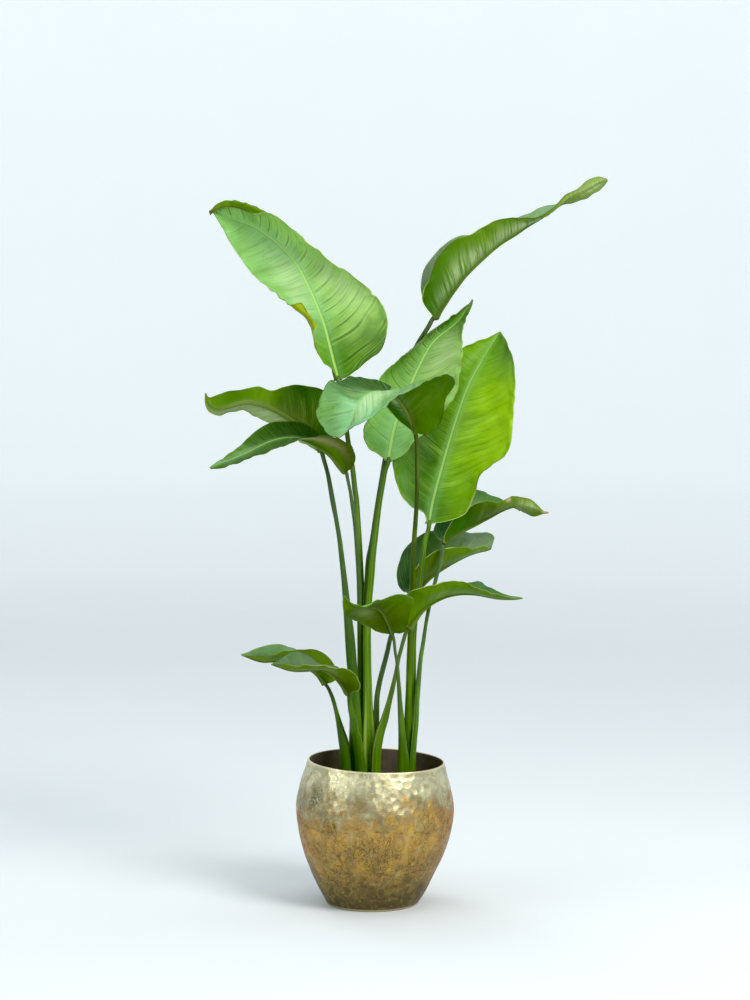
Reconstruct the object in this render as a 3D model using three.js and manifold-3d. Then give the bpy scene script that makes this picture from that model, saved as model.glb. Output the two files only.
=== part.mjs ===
// Potted bird of paradise: thirteen long-stalked leaves rising in two fans from
// a plastic nursery pot of soil that stands inside a hammered metal pot.
// Millimetres, +Z up, origin at the middle of the pot's underside. The plant is
// seen from -Y in its usual view, with +X to the right.
import * as THREE from 'three';
import Module from 'manifold-3d';
import { mergeVertices } from 'three/addons/utils/BufferGeometryUtils.js';

const POT_HEIGHT = 200;      // metal pot, floor to rim
const POT_WALL = 2.2;        // metal pot sheet with its inner lacquer
const POT_LEAN = 0.027;      // sideways drift of the pot axis per mm of height
const RIM_TILT = 0.031;      // slope of the rim across X
const POT_SIDES = 36;
const GROW_BASE_R = 54;      // nursery pot, outside, at its base
const GROW_TOP_R = 82;       // nursery pot, outside, under its lip
const GROW_BASE_Z = 2.6;
const GROW_TOP_Z = 154;
const GROW_WALL = 1.6;
const SOIL_TOP = 144;        // soil level at the nursery pot's wall
const SOIL_CROWN = 147;      // soil level in the middle
const GAP = 0.4;             // clearance between pieces that lie against each other
const CROWN_TOP = 151;       // top of the rhizome crowns, where the stalks start
const STALK_FOOT = CROWN_TOP + 0.4;
const STALK_SIDES = 8;
const NECK_GAP = 1.5;        // from the stalk's top to the base of the blade's midrib
const BLADE_THICK = 1.2;     // blade thickness in the middle of a half
const RIB_BASE = 3.6;        // midrib thickness at the base of the blade
const RIB_TIP = 1.4;         // midrib thickness at the tip
const CROWNS = {
  left: { x: -14, y: 6, r: 36 },
  right: { x: 50.5, y: -1, r: 25 },
};

// Outer profile of the metal pot, radius and height.
const POT_OUTER = [
  [60, 0], [64.2, 2.6], [69, 10], [76, 23], [83.2, 38], [90, 52.5], [95.7, 66.5], [100.3, 80.5],
  [104.4, 94.5], [107.4, 108.5], [109.4, 122], [109.9, 133], [109, 145], [106, 158.5], [102.6, 172],
  [98.4, 186], [94.8, 198.8], [94, POT_HEIGHT],
];

// Leaf blades. One row per station from the base of the blade to its tip:
// midrib x y z, left edge x y z, right edge x y z (seen from the upper side, tip up),
// then how far each half of the blade swells out of the flat between midrib and edge.
const BLADES = {
  top_left: [
    [-45.9, 20, 726.1, -47.3, 20, 726.8, -43.1, 20, 726.8, 0, 0],
    [-48.6, 21, 735.7, -56, 8.3, 743.4, -30.8, 19, 733.1, -1, -1],
    [-52.1, 23, 748, -66.8, -4.6, 752.4, -4.6, 19, 753.7, -3, -3],
    [-55.5, 25, 761.6, -74, -18.1, 766.9, 11.8, 19, 767.5, -6, -4],
    [-60.4, 28, 780.7, -77.9, -28.4, 783.8, 18.7, 20, 788, -9, -6],
    [-65.9, 33, 801.1, -80.5, -31.9, 801.6, 19.4, 23, 812.6, -11, -7],
    [-72.9, 38, 820.1, -86, -29.8, 812.4, 11.8, 25.9, 831.6, -12, -8],
    [-80.5, 44, 837.7, -97, -21.3, 821.5, -6, 29.6, 850.7, -12, -8],
    [-88.9, 50, 855.4, -109.5, -8.5, 830.4, -29.4, 32.6, 870.5, -12, -8],
    [-97.9, 56, 872.4, -123.6, 7.9, 838.6, -54.1, 33.8, 886.9, -10, -8],
    [-108.4, 63, 888.1, -140.6, 28.2, 849.4, -78.8, 32.9, 906.1, -8, -7],
    [-122.5, 72, 903, -157.9, 52, 863.6, -100.7, 34.2, 925.2, -6, -7],
    [-138.7, 82, 917.3, -172.5, 74.1, 877.4, -122.9, 42.6, 942.2, -4, -6],
    [-154.9, 92, 928.8, -184.8, 88.2, 892.9, -142.6, 58, 952.9, -3, -5],
    [-170.5, 101, 937, -195.4, 94.2, 909.3, -162.6, 76.3, 963, -2, -4],
    [-184.7, 108, 941.7, -202.5, 97.3, 923.2, -182.6, 93.8, 970.3, -2, -3],
    [-200.3, 114, 946.5, -211.1, 103.5, 936.2, -202, 107.5, 972.3, -1, -1],
    [-215.9, 118, 952.6, -219.8, 111.8, 950.7, -216.4, 115.4, 965.9, 0, 0],
    [-225, 120, 956.8, -225.7, 120, 956.1, -224.3, 120, 957.5, 0, 0]
  ],
  top_right: [
    [84.1, 30, 812.2, 82.7, 32, 813.5, 84.7, 28, 813, 0, 0],
    [87.5, 31, 819.1, 78.9, 49.1, 820.3, 76.9, 16.4, 821.8, -2, -2],
    [92.3, 32, 826.6, 72.2, 62.9, 829.3, 69.9, 6.8, 831.8, -5, -4],
    [97.8, 33, 834.1, 68.1, 71.4, 839.4, 67.8, -0.4, 841.6, -7, -6],
    [104.7, 34, 843.7, 67.4, 74.7, 854.5, 71.1, -5.5, 854.1, -9, -8],
    [113.6, 35, 855.3, 70.9, 75.5, 875.2, 79.2, -7.6, 870.5, -10, -9],
    [124.6, 36, 869, 84, 76.3, 894.6, 85.3, -6.7, 888.8, -10, -10],
    [137, 37, 881.3, 99.3, 77.5, 909.8, 96.2, -4.1, 904.4, -10, -10],
    [150.7, 38, 893.6, 118, 79.2, 921.5, 112.6, -1.8, 919.3, -9, -10],
    [164.5, 39, 905.5, 136.8, 80.5, 924.9, 131.7, 0.2, 925.3, -8, -9],
    [179.6, 41, 916.6, 156.2, 81.5, 933.2, 149.5, 4.1, 935.4, -7, -8],
    [196.2, 43, 926.4, 177, 81.4, 941.5, 170, 8.2, 945.5, -6, -7],
    [212.7, 45, 937.6, 199.1, 80.8, 947.7, 190.7, 11.9, 948.9, -5, -6],
    [229.3, 47, 947.2, 219.8, 79.7, 956, 210, 16.8, 948.1, -4, -5],
    [243.1, 49, 955.8, 236.3, 78.1, 963.6, 230.9, 25.6, 952.1, -3, -4],
    [255.5, 50, 964.7, 254.2, 75.4, 966.4, 249.3, 38, 963.5, -2, -3],
    [269.3, 51, 972.9, 272, 72.7, 968.1, 265.1, 50.8, 978.4, -2, -2],
    [285.8, 52, 981.1, 289.8, 69.8, 972.6, 282.1, 59, 986.5, -2, -2],
    [301, 53, 989.3, 305.4, 66.5, 980.3, 297.3, 61.5, 998.9, -2, -2],
    [313.4, 54, 996.2, 317.4, 61.7, 990, 311, 59.6, 1003.7, -1, -1],
    [323.7, 55, 999.6, 323.8, 55, 998.2, 323, 55, 1001, 0, 0]
  ],
  centre: [
    [22.2, 8, 615.4, 20.1, 8, 615.4, 24.2, 8, 614.7, 0, 0],
    [23.3, 9, 623.6, 7.7, -1.6, 625.9, 36.6, 6.5, 620.4, -1, -1],
    [24.6, 11, 633.1, -2.6, -7.8, 634, 46.2, 2.8, 629, -2, -3],
    [26.7, 14, 643.8, -9.4, -10.5, 645.3, 54.3, -1.1, 641.7, -4, -4],
    [29.7, 17, 657.4, -11.4, -12.2, 659.8, 66.7, -1.4, 653.4, -5, -5],
    [33.2, 21, 670.9, -8, -12.9, 673.6, 79, 3.1, 665.4, -6, -6],
    [38, 25, 685.8, -3.2, -12.5, 690, 92.8, 8.1, 678.8, -7, -7],
    [45, 30, 702.7, 2.9, -9.3, 711.7, 108, 12.9, 695.6, -8, -7],
    [52.6, 35, 718.2, 13.2, -5, 731.2, 117.7, 16.4, 715.4, -8, -7],
    [61.6, 41, 737.2, 26.2, 0.6, 745.9, 120.9, 20.9, 739.8, -8, -7],
    [72, 47, 757.5, 43.3, 6.7, 760.6, 122.6, 26.4, 764.3, -7, -6],
    [83.2, 54, 775.1, 62.6, 15.7, 775.9, 123.4, 33.3, 780.4, -6, -5],
    [96.4, 61, 787.2, 80.6, 27.3, 790.4, 124.3, 40.5, 792.4, -5, -4],
    [109.7, 67, 796.6, 97.4, 40, 801.4, 125.8, 48.4, 801, -4, -2],
    [121.6, 73, 807.4, 112.1, 54, 812.5, 129.6, 58.7, 809.5, -3, -1],
    [130.8, 78, 819.7, 124.2, 67.3, 821.5, 134.7, 69.6, 819.4, -1, 0],
    [136.4, 82, 827.1, 134.2, 77.9, 828, 138.4, 78.7, 827.3, 0, 0],
    [139.2, 84, 834, 138.5, 84, 834, 139.9, 84, 834, 0, 0]
  ],
  right_large: [
    [78.2, 18, 527.1, 76.8, 18, 528.5, 80.2, 18, 528.5, 0, 0],
    [79.3, 19, 534, 70.5, 17.3, 544.6, 90.6, 18.5, 529.1, -1, -1],
    [80.7, 21, 542.1, 58.8, 17.7, 549.4, 105.8, 19.1, 531.9, -1, -2],
    [82.6, 24, 552.9, 46.4, 19, 558.3, 121, 19.4, 536.7, -2, -3],
    [85.6, 27, 565.8, 36.7, 20.4, 574.1, 132, 18.2, 545.8, -3, -4],
    [89.3, 31, 579.9, 31.9, 23.1, 590.4, 140.1, 17.1, 565.4, -4, -6],
    [94, 35, 596.9, 28.5, 26.4, 609.5, 144.9, 16.9, 589.7, -5, -9],
    [99.6, 40, 615.9, 27.1, 31.1, 629.9, 163.5, 20.5, 610.1, -6, -9],
    [105.9, 46, 636.9, 29.9, 36.9, 651.6, 184.5, 28.2, 623.9, -6, -8],
    [113.2, 52, 660.1, 36.8, 42.6, 674.7, 192.4, 37.1, 644.6, -6, -7],
    [121.6, 58, 685.3, 49.3, 47.9, 699.3, 194.4, 45, 675.9, -6, -7],
    [130.7, 64, 709.3, 64.5, 53.1, 723.9, 196.6, 51.1, 704.6, -6, -7],
    [139.8, 70, 728.3, 82.6, 58.4, 742.3, 197.6, 56, 729.3, -6, -7],
    [149, 76, 743.3, 102.1, 64.2, 756.5, 195, 61, 749.8, -5, -6],
    [158.2, 82, 758.2, 121.7, 70.9, 765.8, 190.3, 67.8, 766, -4, -4],
    [166, 87, 770.5, 141.3, 78, 774.2, 185.1, 76, 777.4, -3, -2],
    [172.4, 91, 779.3, 159.7, 85.9, 779.6, 180.5, 85.1, 785.2, -1, -1],
    [177.4, 94, 789, 176.7, 94, 788.3, 178.8, 94, 789, 0, 0]
  ],
  front_folded: [
    [58, -38, 659.2, 59.3, -38, 658.5, 55.9, -38, 659.9, 0, 0],
    [55.5, -42, 667, 74.2, -43.6, 657, 47.7, -40.3, 666.2, 0, 0],
    [52.4, -47, 675.6, 89, -49.9, 667, 37.5, -43, 673.9, 0, 0],
    [48.5, -53, 684.2, 96.3, -56.8, 685.2, 29.4, -43.8, 682.2, 1, 0],
    [43.9, -60, 692.9, 100.1, -64.8, 707.5, 22.6, -41.3, 689.4, 2, 0],
    [38.7, -67, 701.5, 109.9, -74.2, 721.7, 17.9, -36.4, 695.2, 3, -2],
    [33, -75, 709.6, 110.9, -87.6, 733.3, 15.8, -33.1, 705.2, 3, -4],
    [27.1, -84, 715.3, 98.4, -105.8, 742.8, 18.5, -33.4, 713.4, 2, -5],
    [20.4, -94, 718.7, 76.7, -127.4, 736.7, 25.3, -38, 721.2, 0, -6],
    [12.3, -105, 720.7, 49.9, -149.3, 725.5, 14.4, -46.6, 728.5, -3, -6],
    [4.3, -116, 721.2, 28.6, -167.2, 713.6, 2.2, -57.2, 732.6, -4, -6],
    [-3.7, -127, 719.3, 15.4, -179.8, 704.6, -13.9, -69.9, 736.9, -4, -6],
    [-11, -137, 714.7, 4.9, -187.8, 696.9, -30, -84.3, 738.5, -4, -6],
    [-16.9, -146, 708.1, -4.3, -192.9, 689.8, -43.2, -101.1, 732.9, -3, -6],
    [-21.5, -154, 700, -12.1, -195.3, 684.8, -57.7, -119.7, 734.1, -2, -5],
    [-25.2, -161, 691.3, -18.7, -195, 680.8, -68.7, -136.8, 715.4, -1, -5],
    [-28.1, -167, 683.2, -24.6, -192, 677.3, -74.5, -149.2, 697.7, 0, -4],
    [-31.3, -172, 675.6, -31.2, -187.3, 673.6, -68.4, -157.4, 679.8, 0, -3],
    [-36.6, -176, 669.4, -35.8, -182.8, 669.3, -58.4, -166.6, 667.3, 0, -1],
    [-43.1, -179, 664.3, -42.5, -179, 664.3, -45.1, -179, 663.7, 0, 0]
  ],
  left_upper: [
    [-69.2, 5, 628.1, -67.1, 5, 628.8, -70.6, 6, 627.3, 0, 0],
    [-72.6, 6, 636.3, -56.9, 8.6, 641.6, -79, 16.1, 629.9, 0, 0],
    [-78.1, 7, 645.1, -52.8, 11.9, 660.6, -86.1, 26.6, 633.1, 1, 0],
    [-85, 8, 653.3, -52.8, 14.9, 681, -91.8, 36.4, 636.4, 2, 0],
    [-93.2, 9, 660.8, -56.9, 17.6, 700.1, -98.9, 43.9, 638.5, 3, 1],
    [-102.2, 10, 666.5, -68.6, 19.9, 712.6, -105.9, 48.9, 640.9, 4, 2],
    [-111.8, 11, 672.4, -87.2, 21.9, 717.7, -114.3, 51.6, 644.8, 4, 2],
    [-122.8, 12, 678.9, -105.1, 23.8, 719.7, -124.1, 52.9, 650.3, 4, 2],
    [-134.5, 13, 685.3, -122.4, 25.5, 716.1, -137.2, 53.1, 661.4, 3, 2],
    [-146.9, 14, 690.3, -139, 27, 711.4, -151.7, 52.2, 668.7, 2, 2],
    [-159.3, 15, 693.7, -155.5, 27.8, 716.6, -168.2, 50, 676.9, 2, 2],
    [-171.7, 16, 695.1, -170, 27.6, 714.8, -179.8, 46.5, 682.5, 2, 2],
    [-184.1, 17, 693.3, -184.4, 26.9, 711.6, -190, 41.6, 681.7, 1, 1],
    [-197.2, 18, 689.1, -198.9, 25.9, 710.3, -200.8, 35.8, 679.7, 1, 1],
    [-210.4, 19, 686.9, -211.2, 24.7, 706.1, -213, 29.6, 677.1, 0, 0],
    [-222.1, 20, 691, -222.2, 23.4, 702, -225.1, 24.6, 682.3, 0, 0],
    [-227.8, 20, 699.9, -226.2, 21.4, 703, -230.4, 21.2, 693.6, 0, 0],
    [-229.6, 20, 708.2, -228.9, 20, 708.2, -230.2, 20, 707.5, 0, 0]
  ],
  left_lower: [
    [-36.3, -17, 604.6, -34.7, -18, 604.7, -37.4, -16, 605.9, 0, 0],
    [-40.1, -21, 609.1, -29.1, -26.4, 608.3, -41.6, -11.7, 617.2, 0, 0],
    [-45.1, -26, 615.1, -23.6, -35.9, 618.1, -47.1, -8.5, 627.9, 0, -1],
    [-51.6, -31, 623.8, -23.6, -45.4, 631.2, -53.9, -6.8, 637.4, 0, -2],
    [-59, -36, 631.3, -29.6, -55.5, 644.6, -60.8, -7.2, 645.7, 0, -3],
    [-67.8, -41, 638.1, -42.3, -67.1, 651.1, -68.9, -9.3, 654.1, 0, -3],
    [-77.8, -46, 644.2, -58.4, -78.7, 656.5, -77.7, -12.5, 660.5, 0, -4],
    [-87.9, -51, 649.4, -76.4, -88.4, 659, -87.9, -16.4, 666.6, -1, -4],
    [-97.9, -56, 653.2, -92.3, -95.3, 655.9, -98, -20.9, 670.8, -2, -4],
    [-109.3, -62, 654.8, -106.3, -100.9, 651.4, -110.8, -27.3, 672.8, -2, -4],
    [-122, -68, 654.1, -120.3, -105.2, 646.5, -124.2, -34.7, 673.4, -3, -4],
    [-135.3, -74, 651.1, -134.2, -108.7, 642, -138.9, -42.6, 671.6, -3, -4],
    [-148.6, -80, 646, -147.5, -111.6, 637.4, -153.6, -50.8, 663.9, -3, -3],
    [-162.5, -86, 639.2, -161.5, -113.4, 632.2, -168.2, -59.6, 653.4, -2, -3],
    [-177.1, -92, 632.7, -176.2, -114, 625.3, -182.7, -69.8, 640.9, -2, -2],
    [-191.7, -97, 627.1, -190.4, -112.5, 620.4, -195.8, -80.8, 631.3, -1, -1],
    [-204.9, -101, 622.7, -203.3, -109.1, 616.8, -208, -92.4, 624.6, 0, 0],
    [-217.5, -105, 616.4, -216.9, -105, 615, -218.2, -105, 617.3, 0, 0]
  ],
  right_upper: [
    [98, 42, 500.7, 96.7, 43, 501.3, 98.7, 41, 501.5, 0, 0],
    [103.6, 42.5, 504.8, 89.2, 50.8, 505.3, 101.4, 35.5, 514, -1, -1],
    [110.6, 44.5, 508.8, 85.1, 58.7, 515.6, 107.5, 33.4, 525.4, -2, -1],
    [119.7, 47, 513.4, 95.7, 64.7, 534.5, 115.1, 33.1, 535.9, -3, -2],
    [130.2, 50, 518.4, 113.8, 68, 555.2, 124.1, 32.4, 544.3, -4, -2],
    [141.4, 53, 523.2, 130.6, 71.1, 567.5, 133.6, 29.2, 550.5, -5, -3],
    [153.3, 56, 528.8, 145.5, 77.3, 568.7, 143.9, 25.6, 556.9, -5, -5],
    [165.2, 59, 534.5, 159.7, 85, 564.7, 155.6, 25.2, 559.4, -5, -5],
    [177.1, 62, 540.7, 172.5, 90.6, 557.8, 168.9, 29.8, 556.8, -4, -4],
    [189.1, 65, 545.3, 186, 93, 551.9, 181.8, 39.8, 559.1, -3, -3],
    [200.4, 68, 547.5, 201.5, 92.8, 541.1, 194.8, 53.2, 562.1, -2, -2],
    [211.7, 71, 546.5, 211.9, 90.8, 535.9, 207.9, 65.7, 559.2, -1, -2],
    [222.3, 74, 543.4, 220.9, 88, 532, 220.2, 74.5, 555.5, -1, -1],
    [231.5, 76, 539.9, 230.6, 84.3, 531.4, 230.9, 78.5, 546.7, 0, 0],
    [238.6, 78, 537.6, 238.1, 81.6, 534.1, 238.7, 79.8, 539.1, 0, 0],
    [246.4, 80, 536.2, 245.7, 80, 535.5, 246.4, 80, 536.9, 0, 0]
  ],
  right_back: [
    [52.3, 44, 429, 49.5, 45, 428.8, 53.7, 43, 429.8, 0, 0],
    [55.8, 47, 430.7, 41.3, 56.3, 429.5, 53.6, 37.7, 437.5, 0, 0],
    [60.7, 51, 433.2, 35.1, 66.3, 438.7, 55, 34.9, 447.7, 1, -1],
    [67.1, 56, 437.2, 34, 73.9, 456.1, 59.8, 34.6, 460.3, 2, -2],
    [74.8, 62, 443.5, 41.4, 80.4, 478.5, 66.1, 36.2, 469.9, 2, -3],
    [84, 69, 450.1, 57.6, 89, 496.9, 75.8, 39.5, 478.9, 2, -4],
    [95.4, 77, 456.7, 81, 102, 507.1, 89.8, 44.7, 487.4, 1, -5],
    [108.9, 86, 463.6, 105.2, 116.7, 506.1, 108, 51.8, 490.3, 0, -5],
    [123.1, 95, 470, 128.8, 127.4, 503.5, 125.7, 61.1, 489.7, 0, -5],
    [137.4, 103, 475.1, 149.5, 130.9, 501.2, 141.4, 72.4, 487.3, 0, -4],
    [150.3, 110, 478.1, 165, 128.5, 502, 153.7, 86.2, 489.4, 0, -3],
    [160.3, 115, 479.3, 172.6, 123.7, 496.1, 162.6, 100.2, 485.4, 0, -1],
    [166.8, 119, 481, 169.7, 121.5, 485, 166.6, 112.7, 482.4, 0, 0],
    [168.3, 120, 483, 169, 120, 483.7, 167.6, 120, 482.3, 0, 0]
  ],
  low_front: [
    [26.8, -52, 385.4, 28.8, -52, 386.7, 25.4, -52, 384, 0, 0],
    [24.4, -57, 392.3, 39, -56.1, 386, 15.9, -54.1, 385.7, 0, 0],
    [21.3, -63, 400, 46.5, -61.6, 393.6, 6.3, -57.4, 388.9, 1, 0],
    [17.6, -71, 408.7, 49.7, -70.7, 410, -2.5, -63.5, 393.9, 1, 1],
    [13.1, -80, 417.5, 53.7, -83.2, 426.1, -10.7, -71.6, 399.2, 2, 1],
    [7.7, -91, 424.5, 54.8, -100.2, 439.3, -18.7, -82.8, 405.6, 2, 2],
    [0.9, -103, 428.4, 41.2, -118.6, 448.2, -25.4, -96.2, 410.2, 1, 2],
    [-6.5, -115, 430.5, 22.3, -134.2, 446.6, -30.7, -110.3, 414.9, 0, 2],
    [-14.5, -127, 431.8, 6.3, -145.8, 442.1, -35.3, -124.7, 420.3, 0, 1],
    [-22.4, -138, 433.9, -7, -153.2, 436.4, -38.2, -137.8, 427.6, 0, 1],
    [-29, -148, 438.4, -19, -158.2, 439.4, -39.4, -149.1, 435.2, 0, 0],
    [-35, -156, 444.9, -29.6, -161.1, 443.8, -39.6, -157.1, 443.7, 0, 0],
    [-38.2, -162, 452.4, -37.6, -162, 452.4, -38.9, -162, 451.7, 0, 0]
  ],
  low_right: [
    [48.9, -26, 388.5, 47.8, -25, 389, 49.5, -27, 389.3, 0, 0],
    [53, -26, 395.4, 47.5, -22, 404.5, 44.7, -31, 404.4, 0, -1],
    [57.8, -26, 402.3, 50.3, -19.1, 416.6, 43.9, -36.6, 420.4, -1, -2],
    [63.2, -25.5, 409.6, 54.4, -15.4, 425.8, 45.9, -43.2, 433.7, -2, -3],
    [70.1, -25, 416.7, 61.4, -9.6, 434, 54, -50.5, 442.9, -3, -4],
    [79, -24, 423.2, 72.5, -0.5, 438.4, 66.2, -56.2, 448.3, -4, -5],
    [90, -22.5, 428.8, 86.4, 9.3, 441.3, 80.4, -58.3, 452.2, -4, -5],
    [102.4, -20.5, 433.1, 101.8, 16.5, 443.8, 96.1, -57.3, 458.1, -4, -5],
    [116.2, -18, 435.6, 117.8, 20.2, 444, 111.8, -54.2, 457.6, -4, -5],
    [130, -15, 435.7, 133, 21.4, 445.3, 127.6, -49.6, 454.6, -4, -4],
    [143.8, -12, 434.2, 147.5, 20.5, 446.8, 142.1, -43.4, 448.2, -3, -4],
    [157.7, -8, 430.9, 160.7, 19.4, 440.6, 156.7, -34.5, 440.3, -2, -3],
    [171.6, -4, 427.6, 173.1, 17.2, 434.6, 170.8, -24.1, 435.4, -1, -2],
    [185.6, 0, 425.9, 186.8, 14, 429.3, 185, -13, 430.5, 0, -1],
    [198.1, 3, 425.4, 198.4, 9.8, 427.7, 197.8, -3.3, 427.4, 0, 0],
    [207.6, 5, 425.8, 207.6, 5, 426.4, 207.3, 5, 425.4, 0, 0]
  ],
  small_back: [
    [-64, -10, 308.2, -62.6, -11, 308.4, -65.4, -9, 309.5, 0, 0],
    [-67.4, -9.5, 313.7, -54.3, -10.2, 311, -71, 1.1, 319, 0, 0],
    [-72.2, -9, 319.9, -48.8, -10.9, 316.7, -76, 9.5, 328.2, -1, -1],
    [-78.5, -8, 325.6, -48.7, -13.3, 326.2, -82.3, 16.1, 336.2, -2, -2],
    [-86.1, -7, 330.5, -53.5, -15.9, 337.7, -89.4, 20.7, 343.2, -3, -2],
    [-95.7, -5, 335.3, -61.7, -16.9, 348.6, -97.8, 24.8, 348.2, -3, -3],
    [-106.8, -3, 338.9, -76.1, -18.9, 357.5, -106.1, 27.4, 352, -3, -3],
    [-118.6, 0, 340.4, -95.3, -20.8, 358.9, -115.9, 28.9, 355.3, -3, -3],
    [-130.5, 3, 339.8, -114.6, -20.6, 357.2, -127, 27.9, 357.7, -3, -3],
    [-141.6, 6, 338.1, -131.2, -16.6, 352.3, -139.4, 25.1, 358.3, -2, -2],
    [-152.8, 9, 337.5, -146.6, -9.7, 349.1, -151.8, 22.1, 356.3, -1, -1],
    [-163.2, 11, 339.7, -159.3, -2, 347, -163.5, 19, 352.9, 0, -1],
    [-172.3, 13, 342.6, -170, 6.4, 345.8, -172.4, 16.8, 349, 0, 0],
    [-182.1, 15, 345.5, -181.7, 15, 345.1, -182.1, 15, 346.1, 0, 0]
  ],
  small_front: [
    [-32.1, -34, 301, -30, -35, 300.5, -34.1, -33, 302.2, 0, 0],
    [-34.5, -38, 305.8, -19.7, -44.2, 304.3, -36.2, -30.8, 314.4, 0, 0],
    [-38.4, -43, 312.2, -16.2, -54.9, 313.4, -39.6, -29.8, 324.6, -1, -1],
    [-43.6, -49, 319.4, -18.9, -66.5, 323.6, -43.7, -30.3, 333, -2, -2],
    [-49.6, -55, 326.6, -24.2, -77.1, 333.5, -48.5, -31.9, 337.4, -2, -2],
    [-57, -61, 333.3, -33.7, -86.5, 341.2, -54.6, -34.7, 339.5, -3, -2],
    [-65.1, -66, 337.9, -44.4, -94, 344.8, -61.5, -38.1, 340.8, -3, -3],
    [-74.6, -71, 339.6, -57.2, -100.3, 348, -70.9, -43.7, 342.2, -3, -3],
    [-84.7, -76, 339.2, -71.2, -105, 349.8, -81, -52, 351.2, -3, -3],
    [-94.7, -81, 339.1, -85.3, -108.1, 349.9, -92.4, -61.8, 359.8, -2, -3],
    [-104.8, -85, 339.6, -98.8, -108.5, 350.1, -103.1, -70.3, 362.9, -2, -2],
    [-114.9, -89, 341.7, -111.6, -107.4, 350.4, -113.8, -77.5, 361.7, -1, -1],
    [-124.2, -92, 345, -121.8, -104.3, 350.9, -123.8, -83.5, 356, -1, 0],
    [-130.9, -94, 347.4, -130.1, -100, 350.3, -131.1, -89.3, 352, 0, 0],
    [-136.3, -95, 348.9, -135.6, -95, 348.4, -136.6, -95, 349.5, 0, 0]
  ],
};

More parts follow.
